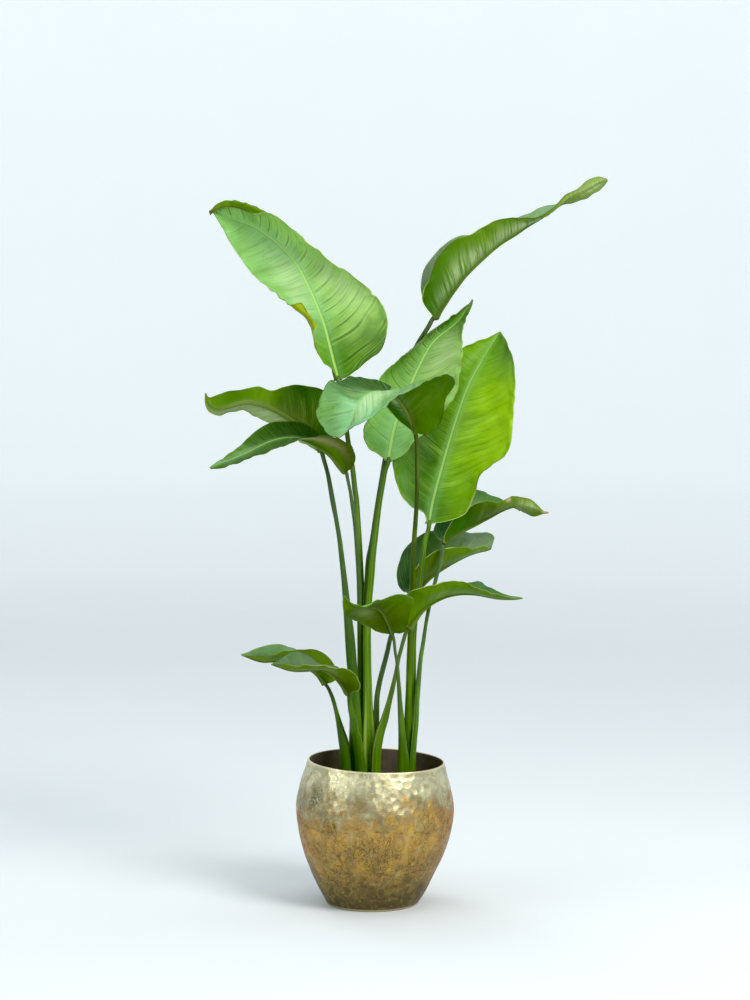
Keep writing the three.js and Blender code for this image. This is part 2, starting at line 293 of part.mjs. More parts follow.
// Leaf stalks. One row per station from the blade down to the mouth of the pot: x y z and width.
const STALKS = {
  small_back: [
    [-64, -10, 306.8, 5],
    [-59.6, -10, 299.8, 5],
    [-54.1, -10, 285.9, 5.5],
    [-50.5, -10, 271.9, 5.5],
    [-47.1, -10, 257.9, 7],
    [-43.9, -10, 244, 9],
    [-40.7, -10.5, 230.1, 11.5],
    [-38.5, -11, 216.1, 12],
    [-37.2, -11, 190.9, 12.4]
  ],
  small_front: [
    [-32.1, -33.5, 299.5, 6.5],
    [-31.5, -32, 289.6, 6.5],
    [-29.7, -29, 275.2, 7.5],
    [-26.4, -26, 260.7, 9],
    [-24.6, -23, 246.3, 9.7],
    [-20.5, -20, 231.8, 9.8],
    [-18.5, -18, 217.4, 11],
    [-16.4, -16, 191.9, 11.5]
  ],
  left_upper: [
    [-69.2, 5, 626.7, 6.5],
    [-66.6, 5, 617, 6.2],
    [-62.6, 4, 603.3, 5.8],
    [-59.6, 4, 589.5, 6],
    [-54.8, 3, 562, 6.8],
    [-49.6, 2, 534.4, 6.6],
    [-45.1, 1, 506.9, 7],
    [-41.8, 1, 479.1, 7.6],
    [-38.7, 0, 451.5, 8.3],
    [-36, 0, 423.7, 9.8],
    [-33.4, 0, 395.9, 11.5],
    [-30.9, 0, 368, 13.5],
    [-28.9, 0, 340.1, 14.5],
    [-25.4, 0, 298.2, 15],
    [-23.4, 0, 256.2, 15],
    [-22.7, 0, 214.1, 15],
    [-22.7, 0, 188.8, 15]
  ],
  left_lower: [
    [-36.3, -17, 603.5, 6],
    [-33.5, -15, 591.4, 5.5],
    [-30.6, -13, 577.4, 5.5],
    [-28.3, -10, 563.4, 6.2],
    [-24.5, -6, 535.3, 6.5],
    [-22, -2, 507.2, 6.8],
    [-20.1, 2, 479, 7],
    [-18.5, 6, 450.7, 7.5],
    [-17.7, 9, 422.5, 8],
    [-17.4, 12, 366.2, 8],
    [-17.2, 14, 309.9, 8],
    [-16.5, 15, 253.6, 8.5],
    [-16.6, 15, 186, 8.5]
  ],
  top_left: [
    [-46.3, 20, 724.7, 7],
    [-42.5, 19, 698.6, 6.5],
    [-38.8, 17, 674, 6.5],
    [-35.2, 15, 654.8, 7],
    [-31.6, 14, 630, 7],
    [-27, 14, 602.4, 7],
    [-24, 14, 574.7, 7.5],
    [-21.9, 15, 560.7, 7.5],
    [-20.1, 16, 532.9, 8],
    [-18.5, 18, 504.9, 8.5],
    [-17.3, 20, 476.8, 9],
    [-15.8, 22, 448.7, 9],
    [-14.4, 25, 420.3, 9],
    [-13.3, 28, 363.9, 9],
    [-12.8, 29, 293.5, 9.5],
    [-12.4, 28.5, 183.5, 9.5]
  ],
  top_right: [
    [83.6, 30, 810.9, 7.5],
    [76.6, 34, 798.3, 8],
    [61.6, 46, 772.8, 8],
    [52, 52, 750.3, 8],
    [38.2, 50.5, 707.4, 8],
    [26.4, 36, 664.2, 8],
    [16.6, 24, 615.3, 7],
    [12, 21.5, 587.8, 7],
    [7.5, 19, 560.3, 7],
    [3.5, 17, 532.8, 7.5],
    [-0.5, 16, 505.1, 8],
    [-5.8, 16, 477.3, 8.5],
    [-7.7, 16, 449.4, 8.5],
    [-8.9, 16, 421.5, 9],
    [-8.9, 17, 365.5, 9],
    [-7.8, 18, 295.3, 9],
    [-6.1, 19, 185.3, 9.5]
  ],
  centre: [
    [21.9, 8, 614, 6.5],
    [18.2, 8, 603, 6.5],
    [15.4, 7, 589.2, 6.8],
    [10.3, 6, 561.7, 7.5],
    [6.4, 5, 534.1, 8],
    [3, 4, 506.5, 8.5],
    [0, 3.5, 478.8, 9],
    [-2.2, 3, 451.1, 9.5],
    [-4.8, 3, 423.3, 10],
    [-6.5, 3, 395.5, 10.5],
    [-7.4, 3, 367.6, 11],
    [-7, 3, 339.7, 11.5],
    [-6.4, 3, 297.7, 12],
    [-5.7, 3, 241.7, 12.5],
    [-5, 3, 188.3, 12.8]
  ],
  front_folded: [
    [58, -38, 658.1, 6.5],
    [60, -37, 648.2, 6.2],
    [60.8, -33, 620.5, 6.1],
    [60.9, -29, 592.8, 6.1],
    [60.7, -25, 564.9, 6.2],
    [59.2, -20, 536.9, 6.8],
    [57.4, -15, 508.7, 7.4],
    [56.2, -11, 480.6, 7.3],
    [54.8, -7, 452.4, 7.4],
    [54, -4, 424.3, 7.6],
    [51.9, -2, 368.3, 8],
    [50.6, 0, 312.2, 8.6],
    [49.3, 1, 256, 9.5],
    [50.1, 2, 188.5, 10.5]
  ],
  right_large: [
    [78.2, 18, 525.7, 6.5],
    [77.2, 18, 518.8, 6.2],
    [72.7, 17, 503.6, 7],
    [69, 16, 477.3, 8],
    [65.8, 15, 449.6, 7],
    [63.1, 15, 421.7, 7],
    [59.7, 15, 393.8, 7],
    [57.6, 15, 365.8, 7],
    [56.7, 15, 309.8, 7.5],
    [55.4, 16, 253.4, 8.5],
    [54.4, 16, 185.8, 9.5]
  ],
  right_upper: [
    [98.3, 42, 499.6, 6.5],
    [97.1, 40, 488.3, 6.8],
    [94.8, 38, 474.6, 7],
    [91, 35, 461, 6.8],
    [87.6, 33, 447.2, 6.5],
    [80.6, 28, 419.9, 6.2],
    [75, 23, 392.6, 6.2],
    [70.8, 18, 365.4, 6.8],
    [66.4, 13.5, 338, 7.2],
    [63.8, 9, 310.7, 8],
    [61.7, 4, 283.5, 8.2],
    [60.3, -1, 256.4, 8.5],
    [57.8, -5.5, 229.2, 8.8],
    [55.2, -12, 191.1, 9]
  ],
  right_back: [
    [51.9, 44, 427.6, 6],
    [44.6, 41, 411.1, 6],
    [35.6, 36, 390.8, 6.5],
    [25.8, 30, 369.2, 7.5],
    [21.2, 25, 350.3, 7.6],
    [17.8, 22, 336.7, 7.6],
    [14, 19, 323.2, 8],
    [10.5, 16, 309.6, 8.2],
    [7.8, 13, 296.1, 8.6],
    [6.1, 11, 282.4, 9],
    [5.4, 9, 254.6, 9],
    [5, 9, 226.5, 9],
    [5.4, 9, 187.1, 9]
  ],
  low_right: [
    [47.9, -26, 387.1, 6.5],
    [42.7, -25, 371.7, 6.8],
    [39, -24, 357.7, 6.3],
    [35.5, -23, 343.7, 6.3],
    [33.2, -22, 329.6, 6.9],
    [30.1, -21, 315.6, 7.2],
    [27, -19, 301.3, 8.3],
    [23.6, -17, 287.1, 8.3],
    [20.1, -15, 272.8, 9.5],
    [16.4, -13, 258.5, 11],
    [11.6, -11.5, 244.2, 12],
    [8.4, -10.5, 230.1, 12],
    [6.1, -10, 216, 12],
    [5, -9.5, 190.6, 12]
  ],
  low_front: [
    [27.2, -52, 384, 4.5],
    [29.5, -50.5, 375.5, 4.5],
    [30.9, -47.5, 361.3, 4.5],
    [33.1, -44.5, 347, 4.6],
    [34.9, -41.5, 332.7, 5],
    [35.7, -38.5, 318.4, 5.2],
    [36.8, -35.5, 304, 5.8],
    [37.6, -32.5, 289.6, 6.3],
    [39.6, -27, 260.9, 8],
    [41.2, -21, 231.9, 9.5],
    [42.7, -17.5, 210.3, 12],
    [43.4, -16, 191.9, 13]
  ],
};

const mat = (color, roughness, metalness = 0) =>
  new THREE.MeshStandardMaterial({ color, roughness, metalness });
const MATERIALS = {
  metal: mat(0x9c8a5c, 0.42, 0.85),
  plastic: mat(0x1c1b1a, 0.6),
  soil: mat(0x3a2a1e, 0.95),
  crown: mat(0x6b5a34, 0.85),
  blade: mat(0x4f8a1c, 0.4),
  stalk: mat(0x4c7420, 0.45),
};

const model = new THREE.Group();
model.name = 'potted_bird_of_paradise';
const add = (name, geometry, material, parent = model) => {
  const m = new THREE.Mesh(geometry, material);
  m.name = name;
  parent.add(m);
  return m;
};

// A closed mesh from a list of [x, y, z] points and triangles.
function solid(points, tris) {
  const g = new THREE.BufferGeometry();
  g.setAttribute('position', new THREE.Float32BufferAttribute(points.flat(), 3));
  g.setIndex(tris.flat());
  g.computeVertexNormals();
  return g;
}

// Lathe with its axis along +Z.
function lathe(profile, sides) {
  const g = new THREE.LatheGeometry(profile.map(([r, z]) => new THREE.Vector2(r, z)), sides);
  g.rotateX(Math.PI / 2);
  return g;
}

// The metal pot stands on its flat base, but its axis and its rim lean a little.
function lean(g) {
  const p = g.attributes.position;
  for (let i = 0; i < p.count; i++) {
    const x = p.getX(i), z = p.getZ(i);
    p.setX(i, x + POT_LEAN * z);
    p.setZ(i, z - RIM_TILT * x * (z / POT_HEIGHT));
  }
  g.computeVertexNormals();
  return g;
}

const bare = (g) => {
  const c = g.clone();
  for (const name of Object.keys(c.attributes)) if (name !== 'position') c.deleteAttribute(name);
  return mergeVertices(c, 1e-4);
};

const wasm = await Module();
wasm.setup();
function toManifold(g) {
  const c = bare(g);
  return new wasm.Manifold(new wasm.Mesh({
    numProp: 3,
    vertProperties: new Float32Array(c.attributes.position.array),
    triVerts: new Uint32Array(c.index.array),
  }));
}
function fromManifold(m) {
  const mesh = m.getMesh();
  const g = new THREE.BufferGeometry();
  g.setAttribute('position', new THREE.Float32BufferAttribute(mesh.vertProperties, 3));
  g.setIndex(Array.from(mesh.triVerts));
  g.computeVertexNormals();
  return g;
}

// ---------------------------------------------------------------- pots
function potProfile() {
  const outer = POT_OUTER.map(([r, z]) => [r, z]);
  const inner = [];
  for (let i = outer.length - 2; i >= 1; i -= 2) {
    const [r0, z0] = outer[i - 1], [r1, z1] = outer[i + 1];
    const l = Math.hypot(r1 - r0, z1 - z0);
    const nr = -(z1 - z0) / l, nz = (r1 - r0) / l;
    inner.push([outer[i][0] + nr * POT_WALL, Math.max(outer[i][1] + nz * POT_WALL, POT_WALL)]);
  }
  inner[0] = [outer[outer.length - 1][0] - POT_WALL * 0.8, POT_HEIGHT - 0.3];
  const last = inner[inner.length - 1];
  return [[0, 0], ...outer, ...inner, [last[0] - 6, POT_WALL], [0, POT_WALL]];
}
add('decorative_pot', lean(lathe(potProfile(), POT_SIDES)), MATERIALS.metal);

const growR = (z) => GROW_BASE_R + (GROW_TOP_R - GROW_BASE_R) * (z - GROW_BASE_Z) / (GROW_TOP_Z - GROW_BASE_Z);
const growProfile = [
  [0, GROW_BASE_Z], [GROW_BASE_R - 2, GROW_BASE_Z], [GROW_BASE_R, GROW_BASE_Z + 2],
  [growR(146), 146], [growR(146) + 3, 146.4], [growR(146) + 3.6, GROW_TOP_Z - 0.6], [growR(146) + 2.8, GROW_TOP_Z],
  [growR(GROW_TOP_Z) - GROW_WALL, GROW_TOP_Z], [growR(60) - GROW_WALL, 60],
  [growR(6) - GROW_WALL, 6], [GROW_BASE_R - 3.5, GROW_BASE_Z + GROW_WALL], [0, GROW_BASE_Z + GROW_WALL],
];
add('nursery_pot', lean(lathe(growProfile, 28)), MATERIALS.plastic);

// ---------------------------------------------------------------- rhizome crowns and soil
function crownProfile(r, swell) {
  return [
    [0, 112 - swell], [r * 0.42, 114 - swell], [r * 0.72 + swell, 122 - swell], [r * 0.93 + swell, 134],
    [r + swell, 144], [r - 1 + swell, 149 + swell * 0.2], [r - 3 + swell, CROWN_TOP + swell], [0, CROWN_TOP + swell],
  ];
}
const crowns = {};
for (const [side, c] of Object.entries(CROWNS)) {
  const g = lathe(crownProfile(c.r, 0), 24);
  g.translate(c.x, c.y, 0);
  crowns[side] = g;
  add(`rhizome_${side}`, g, MATERIALS.crown);
}
const soilR = (z) => growR(z) - GROW_WALL - GAP;
const soilProfile = [
  [0, GROW_BASE_Z + GROW_WALL + GAP], [GROW_BASE_R - 5, GROW_BASE_Z + GROW_WALL + GAP],
  [soilR(8), 8], [soilR(60), 60], [soilR(SOIL_TOP), SOIL_TOP - 0.5], [soilR(SOIL_TOP) - 4, SOIL_TOP + 0.6],
  [50, (SOIL_TOP + SOIL_CROWN) / 2 + 0.6], [24, SOIL_CROWN], [0, SOIL_CROWN],
];
let soil = toManifold(lean(lathe(soilProfile, 28)));
for (const c of Object.values(CROWNS)) {
  const g = lathe(crownProfile(c.r, GAP), 24);
  g.translate(c.x, c.y, 0);
  const up = lathe([[0, 147], [c.r + GAP, 147], [c.r + GAP, 170], [0, 170]], 24);
  up.translate(c.x, c.y, 0);
  soil = soil.subtract(toManifold(g)).subtract(toManifold(up));
}
add('soil', fromManifold(soil), MATERIALS.soil);

// ---------------------------------------------------------------- stalks
// A stalk is a round tapering stem, widening into a sheath at its foot.
function stalkSolid(stations) {
  const s = stations.map((p) => [...p]);
  const step = (from, to, mm, w) => {
    const l = Math.hypot(to[0] - from[0], to[1] - from[1], to[2] - from[2]);
    return [...from.slice(0, 3).map((v, c) => v + (to[c] - v) * mm / l), w];
  };
  const [top, next] = s;
  s.splice(0, 1, step(top, next, NECK_GAP, top[3] * 0.5), step(top, next, NECK_GAP + 1.6, top[3] * 0.92));
  const [fx, fy, fz, fw] = s[s.length - 1];
  s.push([fx, fy, (fz + STALK_FOOT) / 2, fw], [fx, fy, STALK_FOOT, fw]);
  const pts = [], tris = [];
  const n = s.length;
  let side = new THREE.Vector3(1, 0, 0);
  for (let i = 0; i < n; i++) {
    const a = s[Math.max(i - 1, 0)], b = s[Math.min(i + 1, n - 1)];
    const t = new THREE.Vector3(b[0] - a[0], b[1] - a[1], b[2] - a[2]);
    if (i >= n - 2) t.set(0, 0, -1);
    t.normalize();
    side = side.clone().addScaledVector(t, -side.dot(t)).normalize();
    const up = new THREE.Vector3().crossVectors(t, side);
    for (let k = 0; k < STALK_SIDES; k++) {
      const f = (k + 0.5) * 2 * Math.PI / STALK_SIDES, r = s[i][3] / 2;
      pts.push([0, 1, 2].map((c) => s[i][c] + r * (Math.cos(f) * side.getComponent(c) + Math.sin(f) * up.getComponent(c))));
    }
  }
  for (let i = 0; i < n - 1; i++) for (let k = 0; k < STALK_SIDES; k++) {
    const a = i * STALK_SIDES + k, b = i * STALK_SIDES + (k + 1) % STALK_SIDES;
    tris.push([a, b, b + STALK_SIDES], [a, b + STALK_SIDES, a + STALK_SIDES]);
  }
  const end = (n - 1) * STALK_SIDES;
  for (let k = 1; k < STALK_SIDES - 1; k++) tris.push([0, k + 1, k], [end, end + k, end + k + 1]);
  return solid(pts, tris);
}

// ---------------------------------------------------------------- blades
// A thin closed sheet of five lines: two edges, two swelling halves and a thicker midrib.
function bladeSolid(rows) {
  const V = (a) => new THREE.Vector3(a[0], a[1], a[2]);
  const n = rows.length;
  const mid = rows.map((r) => V(r)), left = rows.map((r) => V(r.slice(3))), right = rows.map((r) => V(r.slice(6)));
  const lines = [];
  for (let i = 0; i < n; i++) {
    const t = mid[Math.min(i + 1, n - 1)].clone().sub(mid[Math.max(i - 1, 0)]).normalize();
    const swell = (edge, sign, amount) => {
      const out = edge.clone().sub(mid[i]);
      const p = mid[i].clone().addScaledVector(out, 0.5);
      const nrm = out.multiplyScalar(sign).cross(t);
      return nrm.length() > 1e-6 ? p.addScaledVector(nrm.normalize(), amount) : p;
    };
    lines.push([left[i], swell(left[i], -1, rows[i][9]), mid[i], swell(right[i], 1, rows[i][10]), right[i]]);
  }
  const normals = lines.map((row, i) => row.map((p, j) => {
    const u = row[Math.min(j + 1, 4)].clone().sub(row[Math.max(j - 1, 0)]);
    const v = lines[Math.min(i + 1, n - 1)][j].clone().sub(lines[Math.max(i - 1, 0)][j]);
    return u.cross(v).normalize();
  }));
  normals[0] = normals[1];
  normals[n - 1] = normals[n - 2];
  const pts = [], tris = [];
  for (const sideSign of [1, -1]) for (let i = 0; i < n; i++) for (let j = 0; j < 5; j++) {
    const rib = RIB_BASE + (RIB_TIP - RIB_BASE) * i / (n - 1);
    const half = j === 2 ? (sideSign > 0 ? BLADE_THICK / 2 : rib - BLADE_THICK / 2) : BLADE_THICK * (j === 0 || j === 4 ? 0.35 : 0.5);
    pts.push(lines[i][j].clone().addScaledVector(normals[i][j], sideSign * half).toArray());
  }
  const at = (s, i, j) => s * n * 5 + i * 5 + j;
  for (let i = 0; i < n - 1; i++) for (let j = 0; j < 4; j++) {
    const q = (s) => [at(s, i, j), at(s, i, j + 1), at(s, i + 1, j + 1), at(s, i + 1, j)];
    const [a, b, c, d] = q(0), [e, f, g, h] = q(1);
    tris.push([a, b, c], [a, c, d], [e, g, f], [e, h, g]);
  }
  for (let i = 0; i < n - 1; i++) {
    tris.push([at(0, i, 0), at(0, i + 1, 0), at(1, i + 1, 0)], [at(0, i, 0), at(1, i + 1, 0), at(1, i, 0)]);
    tris.push([at(0, i, 4), at(1, i + 1, 4), at(0, i + 1, 4)], [at(0, i, 4), at(1, i, 4), at(1, i + 1, 4)]);
  }
  for (let j = 0; j < 4; j++) {
    tris.push([at(0, 0, j), at(1, 0, j + 1), at(0, 0, j + 1)], [at(0, 0, j), at(1, 0, j), at(1, 0, j + 1)]);
    tris.push([at(0, n - 1, j), at(0, n - 1, j + 1), at(1, n - 1, j + 1)], [at(0, n - 1, j), at(1, n - 1, j + 1), at(1, n - 1, j)]);
  }
  return solid(pts, tris);
}

for (const [name, rows] of Object.entries(BLADES)) {
  const leaf = new THREE.Group();
  add(`blade_${name}`, bladeSolid(rows), MATERIALS.blade, leaf);
  add(`stalk_${name}`, stalkSolid(STALKS[name]), MATERIALS.stalk, leaf);
  model.add(leaf);
}

export default model;
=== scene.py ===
# Potted bird of paradise: fine blades, stalks, hammered metal pot, nursery pot and
# soil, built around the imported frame. Lengths are in millimetres until a mesh is made.
import math

import bpy
import numpy as np
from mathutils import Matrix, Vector


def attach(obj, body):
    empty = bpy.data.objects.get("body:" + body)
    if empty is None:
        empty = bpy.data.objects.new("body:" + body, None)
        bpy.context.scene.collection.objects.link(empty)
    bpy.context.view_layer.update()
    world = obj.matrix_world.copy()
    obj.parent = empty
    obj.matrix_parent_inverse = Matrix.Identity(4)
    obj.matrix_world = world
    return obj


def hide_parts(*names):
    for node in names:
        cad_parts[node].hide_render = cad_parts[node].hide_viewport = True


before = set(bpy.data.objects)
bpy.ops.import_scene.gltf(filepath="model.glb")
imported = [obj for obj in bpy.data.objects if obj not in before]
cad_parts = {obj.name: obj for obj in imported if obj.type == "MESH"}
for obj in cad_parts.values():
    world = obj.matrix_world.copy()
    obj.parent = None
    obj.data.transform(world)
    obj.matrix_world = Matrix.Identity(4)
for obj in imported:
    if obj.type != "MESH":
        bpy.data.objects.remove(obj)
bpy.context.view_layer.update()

# Leaf blades, base to tip: midrib x y z, left edge x y z, right edge x y z (seen from the
# upper face, tip up), then how far each half swells out of the flat.
BLADES = {
    "top_left": [
        [-45.9, 20, 726.1, -47.3, 20, 726.8, -43.1, 20, 726.8, 0, 0],
        [-48.6, 21, 735.7, -56, 8.3, 743.4, -30.8, 19, 733.1, -1, -1],
        [-52.1, 23, 748, -66.8, -4.6, 752.4, -4.6, 19, 753.7, -3, -3],
        [-55.5, 25, 761.6, -74, -18.1, 766.9, 11.8, 19, 767.5, -6, -4],
        [-60.4, 28, 780.7, -77.9, -28.4, 783.8, 18.7, 20, 788, -9, -6],
        [-65.9, 33, 801.1, -80.5, -31.9, 801.6, 19.4, 23, 812.6, -11, -7],
        [-72.9, 38, 820.1, -86, -29.8, 812.4, 11.8, 25.9, 831.6, -12, -8],
        [-80.5, 44, 837.7, -97, -21.3, 821.5, -6, 29.6, 850.7, -12, -8],
        [-88.9, 50, 855.4, -109.5, -8.5, 830.4, -29.4, 32.6, 870.5, -12, -8],
        [-97.9, 56, 872.4, -123.6, 7.9, 838.6, -54.1, 33.8, 886.9, -10, -8],
        [-108.4, 63, 888.1, -140.6, 28.2, 849.4, -78.8, 32.9, 906.1, -8, -7],
        [-122.5, 72, 903, -157.9, 52, 863.6, -100.7, 34.2, 925.2, -6, -7],
        [-138.7, 82, 917.3, -172.5, 74.1, 877.4, -122.9, 42.6, 942.2, -4, -6],
        [-154.9, 92, 928.8, -184.8, 88.2, 892.9, -142.6, 58, 952.9, -3, -5],
        [-170.5, 101, 937, -195.4, 94.2, 909.3, -162.6, 76.3, 963, -2, -4],
        [-184.7, 108, 941.7, -202.5, 97.3, 923.2, -182.6, 93.8, 970.3, -2, -3],
        [-200.3, 114, 946.5, -211.1, 103.5, 936.2, -202, 107.5, 972.3, -1, -1],
        [-215.9, 118, 952.6, -219.8, 111.8, 950.7, -216.4, 115.4, 965.9, 0, 0],
        [-225, 120, 956.8, -225.7, 120, 956.1, -224.3, 120, 957.5, 0, 0],
    ],
    "top_right": [
        [84.1, 30, 812.2, 82.7, 32, 813.5, 84.7, 28, 813, 0, 0],
        [87.5, 31, 819.1, 78.9, 49.1, 820.3, 76.9, 16.4, 821.8, -2, -2],
        [92.3, 32, 826.6, 72.2, 62.9, 829.3, 69.9, 6.8, 831.8, -5, -4],
        [97.8, 33, 834.1, 68.1, 71.4, 839.4, 67.8, -0.4, 841.6, -7, -6],
        [104.7, 34, 843.7, 67.4, 74.7, 854.5, 71.1, -5.5, 854.1, -9, -8],
        [113.6, 35, 855.3, 70.9, 75.5, 875.2, 79.2, -7.6, 870.5, -10, -9],
        [124.6, 36, 869, 84, 76.3, 894.6, 85.3, -6.7, 888.8, -10, -10],
        [137, 37, 881.3, 99.3, 77.5, 909.8, 96.2, -4.1, 904.4, -10, -10],
        [150.7, 38, 893.6, 118, 79.2, 921.5, 112.6, -1.8, 919.3, -9, -10],
        [164.5, 39, 905.5, 136.8, 80.5, 924.9, 131.7, 0.2, 925.3, -8, -9],
        [179.6, 41, 916.6, 156.2, 81.5, 933.2, 149.5, 4.1, 935.4, -7, -8],
        [196.2, 43, 926.4, 177, 81.4, 941.5, 170, 8.2, 945.5, -6, -7],
        [212.7, 45, 937.6, 199.1, 80.8, 947.7, 190.7, 11.9, 948.9, -5, -6],
        [229.3, 47, 947.2, 219.8, 79.7, 956, 210, 16.8, 948.1, -4, -5],
        [243.1, 49, 955.8, 236.3, 78.1, 963.6, 230.9, 25.6, 952.1, -3, -4],
        [255.5, 50, 964.7, 254.2, 75.4, 966.4, 249.3, 38, 963.5, -2, -3],
        [269.3, 51, 972.9, 272, 72.7, 968.1, 265.1, 50.8, 978.4, -2, -2],
        [285.8, 52, 981.1, 289.8, 69.8, 972.6, 282.1, 59, 986.5, -2, -2],
        [301, 53, 989.3, 305.4, 66.5, 980.3, 297.3, 61.5, 998.9, -2, -2],
        [313.4, 54, 996.2, 317.4, 61.7, 990, 311, 59.6, 1003.7, -1, -1],
        [323.7, 55, 999.6, 323.8, 55, 998.2, 323, 55, 1001, 0, 0],
    ],
    "centre": [
        [22.2, 8, 615.4, 20.1, 8, 615.4, 24.2, 8, 614.7, 0, 0],
        [23.3, 9, 623.6, 7.7, -1.6, 625.9, 36.6, 6.5, 620.4, -1, -1],
        [24.6, 11, 633.1, -2.6, -7.8, 634, 46.2, 2.8, 629, -2, -3],
        [26.7, 14, 643.8, -9.4, -10.5, 645.3, 54.3, -1.1, 641.7, -4, -4],
        [29.7, 17, 657.4, -11.4, -12.2, 659.8, 66.7, -1.4, 653.4, -5, -5],
        [33.2, 21, 670.9, -8, -12.9, 673.6, 79, 3.1, 665.4, -6, -6],
        [38, 25, 685.8, -3.2, -12.5, 690, 92.8, 8.1, 678.8, -7, -7],
        [45, 30, 702.7, 2.9, -9.3, 711.7, 108, 12.9, 695.6, -8, -7],
        [52.6, 35, 718.2, 13.2, -5, 731.2, 117.7, 16.4, 715.4, -8, -7],
        [61.6, 41, 737.2, 26.2, 0.6, 745.9, 120.9, 20.9, 739.8, -8, -7],
        [72, 47, 757.5, 43.3, 6.7, 760.6, 122.6, 26.4, 764.3, -7, -6],
        [83.2, 54, 775.1, 62.6, 15.7, 775.9, 123.4, 33.3, 780.4, -6, -5],
        [96.4, 61, 787.2, 80.6, 27.3, 790.4, 124.3, 40.5, 792.4, -5, -4],
        [109.7, 67, 796.6, 97.4, 40, 801.4, 125.8, 48.4, 801, -4, -2],
        [121.6, 73, 807.4, 112.1, 54, 812.5, 129.6, 58.7, 809.5, -3, -1],
        [130.8, 78, 819.7, 124.2, 67.3, 821.5, 134.7, 69.6, 819.4, -1, 0],
        [136.4, 82, 827.1, 134.2, 77.9, 828, 138.4, 78.7, 827.3, 0, 0],
        [139.2, 84, 834, 138.5, 84, 834, 139.9, 84, 834, 0, 0],
    ],
    "right_large": [
        [78.2, 18, 527.1, 76.8, 18, 528.5, 80.2, 18, 528.5, 0, 0],
        [79.3, 19, 534, 70.5, 17.3, 544.6, 90.6, 18.5, 529.1, -1, -1],
        [80.7, 21, 542.1, 58.8, 17.7, 549.4, 105.8, 19.1, 531.9, -1, -2],
        [82.6, 24, 552.9, 46.4, 19, 558.3, 121, 19.4, 536.7, -2, -3],
        [85.6, 27, 565.8, 36.7, 20.4, 574.1, 132, 18.2, 545.8, -3, -4],
        [89.3, 31, 579.9, 31.9, 23.1, 590.4, 140.1, 17.1, 565.4, -4, -6],
        [94, 35, 596.9, 28.5, 26.4, 609.5, 144.9, 16.9, 589.7, -5, -9],
        [99.6, 40, 615.9, 27.1, 31.1, 629.9, 163.5, 20.5, 610.1, -6, -9],
        [105.9, 46, 636.9, 29.9, 36.9, 651.6, 184.5, 28.2, 623.9, -6, -8],
        [113.2, 52, 660.1, 36.8, 42.6, 674.7, 192.4, 37.1, 644.6, -6, -7],
        [121.6, 58, 685.3, 49.3, 47.9, 699.3, 194.4, 45, 675.9, -6, -7],
        [130.7, 64, 709.3, 64.5, 53.1, 723.9, 196.6, 51.1, 704.6, -6, -7],
        [139.8, 70, 728.3, 82.6, 58.4, 742.3, 197.6, 56, 729.3, -6, -7],
        [149, 76, 743.3, 102.1, 64.2, 756.5, 195, 61, 749.8, -5, -6],
        [158.2, 82, 758.2, 121.7, 70.9, 765.8, 190.3, 67.8, 766, -4, -4],
        [166, 87, 770.5, 141.3, 78, 774.2, 185.1, 76, 777.4, -3, -2],
        [172.4, 91, 779.3, 159.7, 85.9, 779.6, 180.5, 85.1, 785.2, -1, -1],
        [177.4, 94, 789, 176.7, 94, 788.3, 178.8, 94, 789, 0, 0],
    ],
    "front_folded": [
        [58, -38, 659.2, 59.3, -38, 658.5, 55.9, -38, 659.9, 0, 0],
        [55.5, -42, 667, 74.2, -43.6, 657, 47.7, -40.3, 666.2, 0, 0],
        [52.4, -47, 675.6, 89, -49.9, 667, 37.5, -43, 673.9, 0, 0],
        [48.5, -53, 684.2, 96.3, -56.8, 685.2, 29.4, -43.8, 682.2, 1, 0],
        [43.9, -60, 692.9, 100.1, -64.8, 707.5, 22.6, -41.3, 689.4, 2, 0],
        [38.7, -67, 701.5, 109.9, -74.2, 721.7, 17.9, -36.4, 695.2, 3, -2],
        [33, -75, 709.6, 110.9, -87.6, 733.3, 15.8, -33.1, 705.2, 3, -4],
        [27.1, -84, 715.3, 98.4, -105.8, 742.8, 18.5, -33.4, 713.4, 2, -5],
        [20.4, -94, 718.7, 76.7, -127.4, 736.7, 25.3, -38, 721.2, 0, -6],
        [12.3, -105, 720.7, 49.9, -149.3, 725.5, 14.4, -46.6, 728.5, -3, -6],
        [4.3, -116, 721.2, 28.6, -167.2, 713.6, 2.2, -57.2, 732.6, -4, -6],
        [-3.7, -127, 719.3, 15.4, -179.8, 704.6, -13.9, -69.9, 736.9, -4, -6],
        [-11, -137, 714.7, 4.9, -187.8, 696.9, -30, -84.3, 738.5, -4, -6],
        [-16.9, -146, 708.1, -4.3, -192.9, 689.8, -43.2, -101.1, 732.9, -3, -6],
        [-21.5, -154, 700, -12.1, -195.3, 684.8, -57.7, -119.7, 734.1, -2, -5],
        [-25.2, -161, 691.3, -18.7, -195, 680.8, -68.7, -136.8, 715.4, -1, -5],
        [-28.1, -167, 683.2, -24.6, -192, 677.3, -74.5, -149.2, 697.7, 0, -4],
        [-31.3, -172, 675.6, -31.2, -187.3, 673.6, -68.4, -157.4, 679.8, 0, -3],
        [-36.6, -176, 669.4, -35.8, -182.8, 669.3, -58.4, -166.6, 667.3, 0, -1],
        [-43.1, -179, 664.3, -42.5, -179, 664.3, -45.1, -179, 663.7, 0, 0],
    ],
    "left_upper": [
        [-69.2, 5, 628.1, -67.1, 5, 628.8, -70.6, 6, 627.3, 0, 0],
        [-72.6, 6, 636.3, -56.9, 8.6, 641.6, -79, 16.1, 629.9, 0, 0],
        [-78.1, 7, 645.1, -52.8, 11.9, 660.6, -86.1, 26.6, 633.1, 1, 0],
        [-85, 8, 653.3, -52.8, 14.9, 681, -91.8, 36.4, 636.4, 2, 0],
